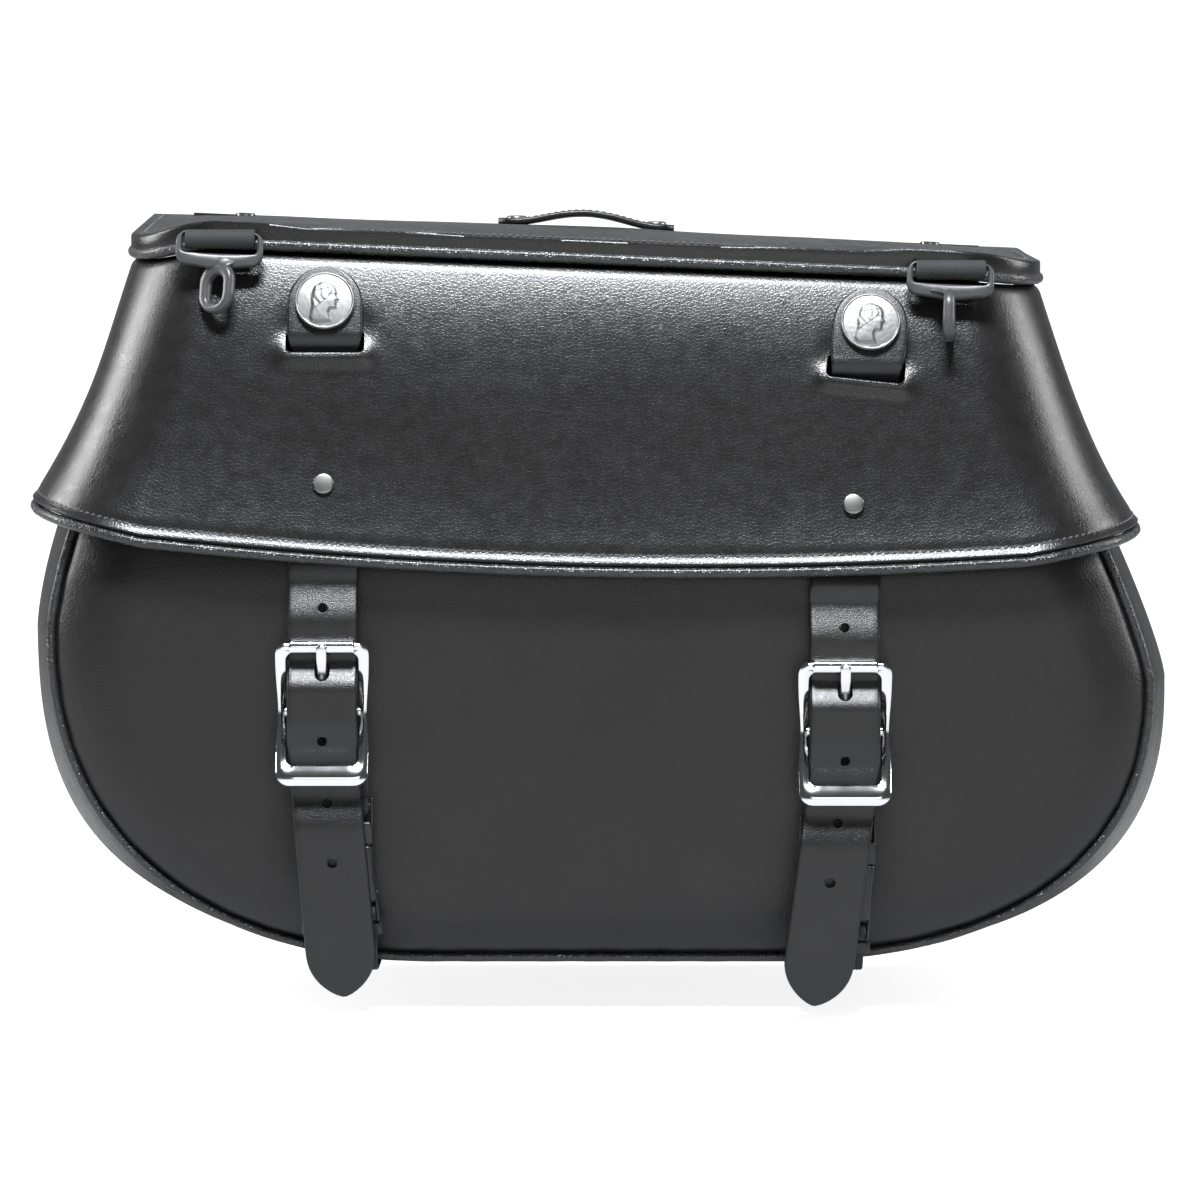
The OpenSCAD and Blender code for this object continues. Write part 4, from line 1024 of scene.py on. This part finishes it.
def buckle_tongue(s):
    side = SIDES[s]
    b = Build()
    over_bar = np.array([[-2.2, -0.5], [-2.5, 2], [-2.6, 9.6], [-4.0, 13.2]]) + [BAR_Y, BAR_H]
    over_roller = np.array([[-2.2, -6.0], [-3.3, -3.5], [-3.75, -0.8], [-3.6, 1.4]]) + [ROLLER_Y, ROLLER_H]
    pts = resample(np.vstack([over_bar, over_roller]), 40)
    smooth(pts, 6)
    path = np.stack([np.zeros(40), pts[:, 0], pts[:, 1]], 1)
    k = np.arange(40) / 39
    w = 4.1 - 0.2 * k - 3.4 * np.clip((k - 0.95) / 0.05, 0, 1) ** 2.5
    ribbon(b, hang_place(path, s), w, 2.0, r=0.95, n=5, flats=2)
    ang = np.radians(np.linspace(-100, 205, 30))
    ring = np.stack([np.zeros(30), BAR_Y + 2.75 * np.cos(ang), BAR_H + 2.75 * np.sin(ang)], 1)
    ribbon(b, hang_place(ring, s), 4.0, 1.5, r=0.7, n=4, flats=2)
    name = f"{side}_buckle_tongue"
    b.make(name, f"{side}_tongue_body", [CHROME], [name], angle=40)


# ---------------------------------------------------------------- small metalwork
def skirt_axis(s, z):
    """Point on the skirt under the tab at height z, and the direction out of it."""
    p = tab_place([[0, skirt_at(s, z), z]], s)[0]
    a = tab_place([[0, skirt_at(s, z + 3), z + 3]], s)[0] - tab_place([[0, skirt_at(s, z - 3), z - 3]], s)[0]
    n = unit(np.cross([1.0, 0, 0], unit(a)))
    return p, n * (-1 if n[1] > 0 else 1), unit(a)


# Plain profile for the conchos: crown and brow, nose, lips and chin, neck, long hair
HEAD = [
    (-0.5, 7.2), (1.5, 7.0), (3.2, 6.1), (4.2, 4.9), (4.6, 3.8), (4.75, 2.9), (4.8, 2.3), (4.6, 1.8),
    (5.1, 1.0), (5.6, 0.2), (5.15, -0.3), (4.75, -0.5),
    (5.0, -0.95), (4.72, -1.25), (4.9, -1.6), (4.55, -2.1), (4.75, -2.8), (4.3, -3.5), (3.2, -3.8),
    (2.3, -3.8), (1.9, -4.9), (2.3, -6.6), (3.0, -8.6),
    (-5.0, -9.2), (-5.8, -6.8), (-5.3, -4.4), (-4.9, -2.2), (-5.1, 0.6), (-4.8, 3.2), (-3.7, 5.6),
    (-2.1, 6.9)]


def relief(x, z):
    """Height of the head on the concho's face, a plain profile with long hair, for points in millimetres."""
    poly = np.array(HEAD) * 0.98
    inside = np.zeros(x.shape, bool)
    dist = np.full(x.shape, 9.0)
    for (x0, z0), (x1, z1) in zip(poly, np.roll(poly, -1, 0)):
        hit = ((z0 > z) != (z1 > z)) & (x < (x1 - x0) * (z - z0) / (z1 - z0 + 1e-12) + x0)
        inside ^= hit
        d = np.array([x1 - x0, z1 - z0])
        h = np.clip(((x - x0) * d[0] + (z - z0) * d[1]) / (d @ d), 0, 1)
        dist = np.minimum(dist, np.hypot(x - x0 - h * d[0], z - z0 - h * d[1]))
    sd = np.where(inside, dist, -dist)
    h = 0.62 * ease((sd + 0.1) / 1.3) * (1 + 0.25 * ease(sd / 4))
    hairline = x - (2.9 - 0.55 * np.abs(z - 3.2) ** 1.15 - 0.35 * np.maximum(0, 1.5 - z))
    hair = ease(-hairline / 0.5) * (sd > 0)
    strand = np.sin(2.6 * (x * 0.9 + 0.22 * z + 0.5 * np.sin(z * 0.55)) + 0.6 * np.sin(z * 1.3))
    h += hair * (0.16 + 0.1 * strand)
    band = np.exp(-(((z - (4.6 + 0.22 * x)) / 0.32) ** 2)) * (sd > 0.1)
    h += 0.12 * band
    # brow, eyelid, eye hollow, nostril, cheek, mouth line and chin, as (x, z, half width, half height, rise)
    for cx, cz, rx, rz, rise in (
            (3.6, 2.35, 0.9, 0.3, 0.1), (3.75, 1.55, 0.5, 0.26, 0.09), (3.2, 1.95, 1.0, 0.2, -0.1),
            (4.7, 0.25, 0.5, 0.5, 0.08), (2.7, 0.0, 1.3, 1.1, 0.1), (4.4, -1.28, 0.6, 0.1, -0.12),
            (3.9, -2.9, 0.8, 0.6, 0.06)):
        h += rise * np.exp(-(((x - cx) / rx) ** 2 + ((z - cz) / rz) ** 2)) * (1 - hair)
    return h


def concho(s):
    side = SIDES[s]
    p, n, up = skirt_axis(s, CONCHO_H)
    right = unit(np.cross(up, -n))
    right = right if right[0] > 0 else -right
    base = p + n * (STRAP_T + 0.95)
    b = Build()
    r = np.linspace(0, COIN_R, 74)
    a = circle(150)
    x, z = r[:, None] * np.cos(a), r[:, None] * np.sin(a)
    h = 1.35 + 0.75 * (1 - (r[:, None] / CONCHO_R) ** 2) + 0.6 * relief(x, z) * ease((9.7 - r[:, None]) / 1.2)
    h += 0.008 * waves(np.stack([x, z, x * 0], -1), 1.6, 40 + s)
    grid = base + x[..., None] * right + z[..., None] * up + h[..., None] * n
    rim = []
    for rr, hh in ((10.1, 1.62), (10.3, 1.74), (10.55, 1.74), (10.75, 1.62), (10.88, 1.4),
                   (CONCHO_R, 1.1), (CONCHO_R, 0.3), (10.7, 0.0), (1.7, 0.0)):
        dent = 0.04 * np.sin(a * 9 + s) * (rr < 10.8)
        around = (rr * np.cos(a))[:, None] * right + (rr * np.sin(a))[:, None] * up
        rim.append(base + around + (hh + dent)[:, None] * n)
    b.grid(np.concatenate([grid, np.array(rim)]), wrap_c=True)
    b.cap(rim[-1], flip=True)
    b.make(f"{side}_concho", "lid", [COIN], [f"{side}_concho"], angle=35)


def rivet(name, body, profile, centre, axis, n=32, angle=35):
    b = Build()
    disc(b, profile, centre, axis, n)
    b.make(name, body, [NICKEL], [name], angle=angle)


def strap_rivet(s):
    p, n, _ = skirt_axis(s, RIVET_H)
    profile = [(3.8, -0.4), (3.8, 0.75), (3.72, 1.05), (3.5, 1.25), (3.1, 1.34), (0, 1.36)]
    rivet(f"{SIDES[s]}_strap_rivet", "lid", profile, p + n * 0.3, n, n=48, angle=30)


# ---------------------------------------------------------------- hooks on webbing
def hook_h(s):
    return float(lid_z(HOOK_X[s], -LID_D)) + 1.4


def hook_place(p, s):
    return turn(np.asarray(p, float), np.zeros(3), (0, 1, 0), SLOPE) + [HOOK_X[s], 0, hook_h(s)]


def hook_webbing(s):
    """From under the lid's edge band, over the piping and round the hook's bar."""
    ys = np.array([-100, -106, -112, -118, -122, -125.0, -127.0])
    run = np.array([[y, lid_z(HOOK_X[s], max(y, -LID_D)) - hook_h(s) + 3.1] for y in ys])
    run[:4, 1] -= [1.2, 1.0, 0.6, 0.2]
    ang = np.radians(np.linspace(70, 400, 40))
    loop = np.stack([HOOK_Y + WEB_LOOP_R * np.cos(ang), WEB_LOOP_R * np.sin(ang)], 1)
    path = resample(np.vstack([run, loop]), 400)
    smooth(path, 40)
    b = Build()
    weave(b, hook_place(side_path(path), s), STRAP_W, WEB_T)
    name = f"{SIDES[s]}_hook_webbing"
    b.make(name, "lid", [WEB], [name], angle=60)


def hook(s):
    """Frame with a bowed lower bar, and an oval eye standing out of it."""
    b = Build()

    def place(p):
        q = turn(np.asarray(p, float).reshape(-1, 3), np.zeros(3), (1, 0, 0), -HOOK_TILT)
        return hook_place(q + [0, HOOK_Y, 0], s).reshape(np.shape(p))

    def eye(p):
        q = np.asarray(p, float).reshape(-1, 3) - [HOOK_OUT[s], 0, 0]
        return place(turn(q, np.zeros(3), (0, 0, 1), HOOK_TURN[s]).reshape(np.shape(p)))

    outer = resample(rounded(32, 12.4, 4.2, 10, 0, -3.6), 160, closed=True)
    inner = resample(rounded(27.4, 7.4, 1.6, 10, 0, -2.0), 160, closed=True)
    outer[:, 1] -= 1.6 * np.exp(-((outer[:, 0] / 9) ** 2)) * (outer[:, 1] < -5)
    ao = np.unwrap(np.arctan2((outer[:, 1] + 3) * 2.6, outer[:, 0]))
    ai = np.unwrap(np.arctan2((inner[:, 1] + 3) * 2.6, inner[:, 0]))
    inner = np.stack([np.interp(ao, ai, inner[:, k], period=2 * math.pi) for k in (0, 1)], 1)
    frame_ring(b, outer, inner, 0.0, 3.9, oval_section(16, 0.62), place)
    outer = resample(rounded(15, 19, 7.2, 14, 0, -18.6), 120, closed=True)
    inner = resample(rounded(7.0, 11.4, 3.4, 14, 0, -19.4), 120, closed=True)
    frame_ring(b, outer, inner, 0.0, 4.2, oval_section(16, 0.75), eye)
    section = oval_section(20, 0.7)
    rings = []
    for k, z in enumerate(np.linspace(-7.4, -12.0, 8)):
        t = ease(k / 7)
        x, y = mix(7.5, 4.4, t) * section[:, 0] - HOOK_OUT[s] * t, 1.9 * section[:, 1]
        cos, sin = math.cos(HOOK_TURN[s] * t), math.sin(HOOK_TURN[s] * t)
        rings.append(np.stack([x * cos - y * sin, x * sin + y * cos, np.full(20, z)], 1))
    b.loft(place(np.array(rings)))
    name = f"{SIDES[s]}_hook"
    b.make(name, f"{name}_body", [HOOK], [name], angle=50)


# ---------------------------------------------------------------- release clips and lower webbing
def clip_place(p, s):
    """From the clip's frame to the bag: it follows the strap's tail sideways."""
    p = np.array(p, float)
    p[..., 0] += CLIP_X[s] + CLIP_DRIFT[s] * np.clip((45 - p[..., 2]) / 31, 0, 1)
    return hang_place(p, s)


def chape(s):
    """Webbing from the centre bar down to the plug, slanting towards it."""
    b = Build()
    rt, rl = WEB_LOOP_R, CLIP_LOOP_R
    top = np.radians(np.linspace(-60, 180, 24))
    low = np.radians(np.linspace(0, -250, 24))
    pts = np.vstack([
        np.stack([BAR_Y + rt * np.cos(top[::-1]), BAR_H + rt * np.sin(top[::-1])], 1),
        np.linspace([BAR_Y + rt, BAR_H - 4], [CLIP_Y + rl, PLUG_H + 4], 8),
        np.stack([CLIP_Y + rl * np.cos(low), PLUG_H + rl * np.sin(low)], 1)])
    z = pts[:, 1]
    x = CLIP_X[s] * ease((BAR_H - 5 - z) / (BAR_H - PLUG_H - 9))
    path = resample(side_path(pts, x), 240)
    weave(b, hang_place(path, s), 24.6, 1.6)
    name = f"{SIDES[s]}_chape"
    b.make(name, f"{SIDES[s]}_strap_body", [WEB], [name], angle=60)


def release_plug(s):
    """Block with two sprung arms, and side walls that hold its bar."""
    b = Build()
    half = CLIP_W / 2

    def place(p):
        return clip_place(p, s)

    edge = [(half - 1.2, 44.9), (half, 46.2), (half, 51.5), (half - 0.3, 53.0), (half - 1.4, 53.6)]
    block = np.array(edge + [(-x, z) for x, z in edge[::-1]])
    plate(b, resample(block, 80, closed=True), CLIP_Y - CLIP_T / 2, CLIP_Y + CLIP_T / 2, 1.1, place)
    for k in (-1, 1):
        rbox(b, 1.1, 6.8, 10.0, (k * (half - 0.55), CLIP_Y, 57.2), 0.45, place)
        rbox(b, 3.2, 4.4, 17.5, (k * 10.4, CLIP_Y, 37.2), 0.9, place)
    rbox(b, 3.2, 4.4, 18.0, (0, CLIP_Y, 36.3), 0.9, place)
    for k in range(4):
        rbox(b, 19, 0.7, 0.9, (0, CLIP_Y - CLIP_T / 2 - 0.1, 46.9 + 1.7 * k), 0.3, place)
    b.tube(place(crossbar(half - 0.6, CLIP_Y, PLUG_H, 8)), CLIP_BAR_R, sides=18)
    name = f"{SIDES[s]}_release_plug"
    b.make(name, f"{SIDES[s]}_strap_body", [PLASTIC], [name], angle=40)


def release_socket(s):
    """Shell with a window each side, open towards the plug, and walls that hold its bar."""
    b = Build()
    half = CLIP_W / 2
    name = f"{SIDES[s]}_release_socket"

    def place(p):
        return clip_place(p, s)

    outer = resample(rounded(CLIP_W, CLIP_T, 2.2, 8), 96, closed=True)
    inner = resample(rounded(CLIP_W - 2.4, CLIP_T - 3.2, 1.2, 8), 96, closed=True)
    rings = []
    # height, and how far the shell draws in there
    for z, d in ((24.4, 1.2), (24.7, 0.5), (25.4, 0.1), (26.2, 0), (33.0, 0.35), (38.0, 0.35),
                 (43.6, 0), (44.3, 0.15), (44.6, 0.5)):
        q = shrink(outer, d)
        rings.append(np.stack([q[:, 0], CLIP_Y + q[:, 1], np.full(96, z)], 1))
    for z in (44.6, 44.0, 27.0):
        rings.append(np.stack([inner[:, 0], CLIP_Y + inner[:, 1], np.full(96, z)], 1))
    b.loft(place(np.array(rings)))
    cut = Build()
    for k in (-1, 1):
        rbox(cut, 7.0, 4.6, 8.4, (k * half, CLIP_Y - 0.2, 31.4), 0.9, place)
    b.make(f"{name}_shell", "body", [PLASTIC], angle=40, cut=cut)
    b = Build()
    for k in (-1, 1):
        rbox(b, 1.1, 6.0, 8.6, (k * (half - 0.55), CLIP_Y, 21.6), 0.45, place)
    rbox(b, CLIP_W - 3, CLIP_T - 3.6, 1.4, (0, CLIP_Y, 26.2), 0.5, place)
    b.tube(place(crossbar(half - 0.6, CLIP_Y, SOCKET_H, 8)), CLIP_BAR_R, sides=18)
    b.make(name, "body", [PLASTIC], [name], angle=40)


WEB_Y = CLIP_Y + CLIP_LOOP_R


def lower_webbing(s):
    """Loop round the socket's bar, then down and under the bag."""
    b = Build()
    d = DROP[s]
    ring = np.radians(np.linspace(270, 30, 24))
    loop = np.stack([CLIP_Y + CLIP_LOOP_R * np.cos(ring), SOCKET_H + CLIP_LOOP_R * np.sin(ring)], 1)
    run = [[0, SOCKET_H - 1], [0, 12 + d / 2], [0.3, 6 + 0.7 * d], [2, 1.2 + d], [6, d - 1.4], [14, d - 1.7],
           [40, d - 1.5]]
    pts = resample(np.vstack([loop, np.array(run) + [WEB_Y, 0]]), 300)
    smooth(pts, 60)
    weave(b, clip_place(side_path(pts), s), STRAP_W, 1.6)
    name = f"{SIDES[s]}_lower_webbing"
    b.make(name, "body", [WEB], [name], angle=60)


def webbing_slider(s):
    b = Build()
    outer = resample(rounded(30, 4.4, 1.6, 8, 0, 0), 96, closed=True)
    inner = resample(rounded(26.4, 2.1, 0.7, 8, 0, 0), 96, closed=True)

    def lay_flat(p):
        return clip_place(np.stack([p[..., 0], WEB_Y + p[..., 2], 14.2 - p[..., 1]], -1), s)

    frame_ring(b, outer, inner, 0.0, 4.4, oval_section(16, 0.5), lay_flat)
    name = f"{SIDES[s]}_webbing_slider"
    b.make(name, "body", [PLASTIC], [name], angle=45)


def base_rivet(s):
    profile = [(3.8, 0), (3.8, 0.5), (3.5, 1.0), (2.9, 1.2), (0, 1.25)]
    centre = np.array([STRAP_X[s] + CLIP_X[s], WEB_Y + 32, -2.5])
    rivet(f"{SIDES[s]}_base_rivet", "body", profile, centre, (0, 0, -1))


# ---------------------------------------------------------------- back and hidden hardware
HINGE_X = LID_X + np.linspace(16 - LID_TOP_W, LID_TOP_W - 16, 60)


def hinge_strip():
    b = Build()
    z_top = lid_z(HINGE_X, 0) - 5 + 0.4
    profile = [(-4.3, 0.0), (-4.25, -0.6), (-4.25, -14.4), (-4.35, -14.9), (-4.8, -15.2),
               (-5.6, -15.2), (-6.05, -14.9), (-6.1, -14.4), (-6.1, -0.6), (-5.9, 0.0)]
    b.loft(np.array([[[x, y, z + dz] for y, dz in profile] for x, z in zip(HINGE_X, z_top)]))
    b.make("hinge_strip", "body", [LEATHER], ["hinge_strip"])


def hinge_bend():
    """Soft leather bend from the back panel over to the lid."""
    b = Build()
    a = np.radians(np.linspace(-8, 100, 24))
    pts = np.stack([-3.2 + 3.0 * np.cos(a), 3.0 * np.sin(a)], 1)
    base = np.array([[pts[0, 0], -16.0], [pts[0, 0], -10.0], [pts[0, 0], -4.0]])
    path = np.vstack([base, pts, [[-9.0, 3.1], [-16.0, 3.2]]])
    z0 = lid_z(HINGE_X, 0) + 3.2
    rows = np.array([np.stack([HINGE_X, np.full(len(HINGE_X), y), z0 + dz], 1) for y, dz in path])
    tang = unit(np.gradient(rows, axis=0))
    out = np.cross(np.broadcast_to([1.0, 0, 0], tang.shape), tang)
    out *= np.sign((out * [0, 1, 0.5]).sum(-1, keepdims=True) + 1e-9)
    skin = rows + out * 0.55
    under = rows - out * 0.55
    b.grid(skin)
    b.grid(under, flip=True)
    for e in (0, -1):
        b.grid(np.stack([skin[e], under[e]]), flip=e == 0)
        b.grid(np.stack([skin[:, e], under[:, e]], 1), flip=e == -1)
    pv = np.array([0, -3.0, float(lid_z(0, -3)) + 3.2 - MOUNT_H])
    ends = (tuple((pv - [0, 0, 4]) * 0.001), tuple((pv + [0, -3, 3]) * 0.001))
    b.make("hinge_bend", None, [LEATHER], angle=60, blend=("body", "lid", *ends))


def mounting_grommets():
    b = Build()
    # radius and depth, round the eyelet from the back's face to the inside
    profile = [(3.35, -0.6), (3.3, -0.1), (3.7, 0.28), (5.4, 0.3), (7.2, -0.02), (7.9, -0.3), (8.0, -0.9),
               (5.05, -0.9), (5.0, -7.4), (8.0, -7.4), (7.9, -8.1), (5.0, -8.3), (3.35, -8.1)]
    spokes = [(math.cos(w), math.sin(w)) for w in circle(40)]
    for sx in (-HOLE_X, HOLE_X):
        for z in (MOUNT_H - HOLE_Z, MOUNT_H + HOLE_Z):
            rings = [[[sx + r * c, y, z + r * d] for c, d in spokes] for r, y in profile]
            b.grid(np.array(rings), wrap_r=True, wrap_c=True)
    b.make("mounting_grommets", "body", [NICKEL], ["mounting_grommets"], angle=35)


def webbing_rivets():
    b = Build()
    profile = [(3.8, -0.8), (3.8, 0.15), (3.5, 0.4), (2.8, 0.48), (0, 0.5)]
    for s in (0, 1):
        z = float(lid_top_z(HOOK_X[s], -14)) - hook_h(s) + 0.5
        disc(b, profile, hook_place([[0, -14, z]], s)[0], (math.sin(SLOPE), 0, math.cos(SLOPE)), 32)
    b.make("webbing_rivets", "lid", [NICKEL], ["webbing_rivets"], angle=35)


SIDE_PIECES = (
    strap, buckle_frame, buckle_roller, buckle_tongue, concho, strap_rivet, hook_webbing, hook,
    chape, release_plug, release_socket, lower_webbing, webbing_slider, base_rivet)
for s in (0, 1):
    for piece in SIDE_PIECES:
        piece(s)
hinge_strip()
hinge_bend()
mounting_grommets()
webbing_rivets()


def hidden_material(name):
    if name in ("back_stiffener", "base_board", "lid_board"):
        return BOARD
    return NICKEL if any(word in name for word in ("rivet", "screw", "grommet")) else LEATHER


for name, node in frame["nodes"].items():
    node.data.materials.clear()
    node.data.materials.append(hidden_material(name))


# ---------------------------------------------------------------- stage
def world():
    """Soft grey light, with plain white behind the bag for the camera."""
    w = bpy.data.worlds.new("studio")
    bpy.context.scene.world = w
    w.use_nodes = True
    nodes, link = w.node_tree.nodes, w.node_tree.links.new
    light = nodes["Background"]
    light.inputs["Color"].default_value = (0.93, 0.95, 1.0, 1)
    light.inputs["Strength"].default_value = 0.07
    backdrop = nodes.new("ShaderNodeBackground")
    backdrop.inputs["Color"].default_value = (1, 1, 1, 1)
    backdrop.inputs["Strength"].default_value = 1.05
    switch = nodes.new("ShaderNodeMixShader")
    link(nodes.new("ShaderNodeLightPath").outputs["Is Camera Ray"], switch.inputs[0])
    link(light.outputs[0], switch.inputs[1])
    link(backdrop.outputs[0], switch.inputs[2])
    link(switch.outputs[0], nodes["World Output"].inputs[0])


def floor_material():
    """Pale surface that takes shadows and glows for the camera only."""
    m = bpy.data.materials.new("floor")
    m.use_nodes = True
    nodes, link = m.node_tree.nodes, m.node_tree.links.new
    base = nodes["Principled BSDF"]
    base.inputs["Base Color"].default_value = (0.55, 0.55, 0.55, 1)
    base.inputs["Roughness"].default_value = 0.9
    base.inputs["Specular IOR Level"].default_value = 0.0
    seen = nodes.new("ShaderNodeMath")
    seen.operation = "MULTIPLY"
    seen.inputs[1].default_value = 0.86
    link(nodes.new("ShaderNodeLightPath").outputs["Is Camera Ray"], seen.inputs[0])
    glow = nodes.new("ShaderNodeEmission")
    link(seen.outputs[0], glow.inputs["Strength"])
    both = nodes.new("ShaderNodeAddShader")
    link(base.outputs[0], both.inputs[0])
    link(glow.outputs[0], both.inputs[1])
    link(both.outputs[0], nodes["Material Output"].inputs["Surface"])
    return m


def floor():
    """Floor that curves up into a backdrop, in metres."""
    z, radius, bend_y = (-18 - MOUNT_H) * 0.001, 1.2, 1.0
    bend = [(bend_y + radius * math.sin(w), z + radius * (1 - math.cos(w)))
            for w in np.radians(np.linspace(0, 90, 24))]
    profile = [(-4.0, z), *bend, (bend_y + radius, 4.0)]
    verts = [(x, y, h) for y, h in profile for x in (-6, 6)]
    faces = [(2 * i, 2 * i + 1, 2 * i + 3, 2 * i + 2) for i in range(len(profile) - 1)]
    me = bpy.data.meshes.new("floor")
    me.from_pydata(verts, [], faces)
    me.shade_smooth()
    me.materials.append(floor_material())
    o = bpy.data.objects.new("floor", me)
    bpy.context.scene.collection.objects.link(o)


def aim(o, place, target):
    o.location = place
    o.rotation_euler = (Vector(target) - Vector(place)).to_track_quat("-Z", "Y").to_euler()
    bpy.context.scene.collection.objects.link(o)


def area(name, place, target, size, power, color=(1, 1, 1)):
    d = bpy.data.lights.new(name, "AREA")
    d.shape = "RECTANGLE"
    d.size, d.size_y = size
    d.energy, d.color = power, color
    o = bpy.data.objects.new(name, d)
    aim(o, place, target)


def camera():
    data = bpy.data.cameras.new("camera")
    data.lens, data.sensor_width = 144.5, 36
    o = bpy.data.objects.new("camera", data)
    aim(o, (0, -1.9, 0.07), (0, -0.15, -0.0165))
    bpy.context.scene.camera = o
    bpy.context.scene.view_settings.view_transform = "Standard"


world()
floor()
area("top_soft", (-0.03, -0.85, 1.35), (0, -0.12, 0.08), (0.55, 0.3), 50, (0.92, 0.95, 1.0))
area("left_soft", (-1.2, 0.1, 0.5), (0, -0.1, 0.0), (0.4, 0.8), 13)
area("right_soft", (1.2, 0.0, 0.5), (0, -0.1, 0.0), (0.4, 0.8), 9)
area("front_fill", (0.3, -2.4, 0.1), (0, -0.1, -0.05), (1.2, 0.8), 5)
camera()
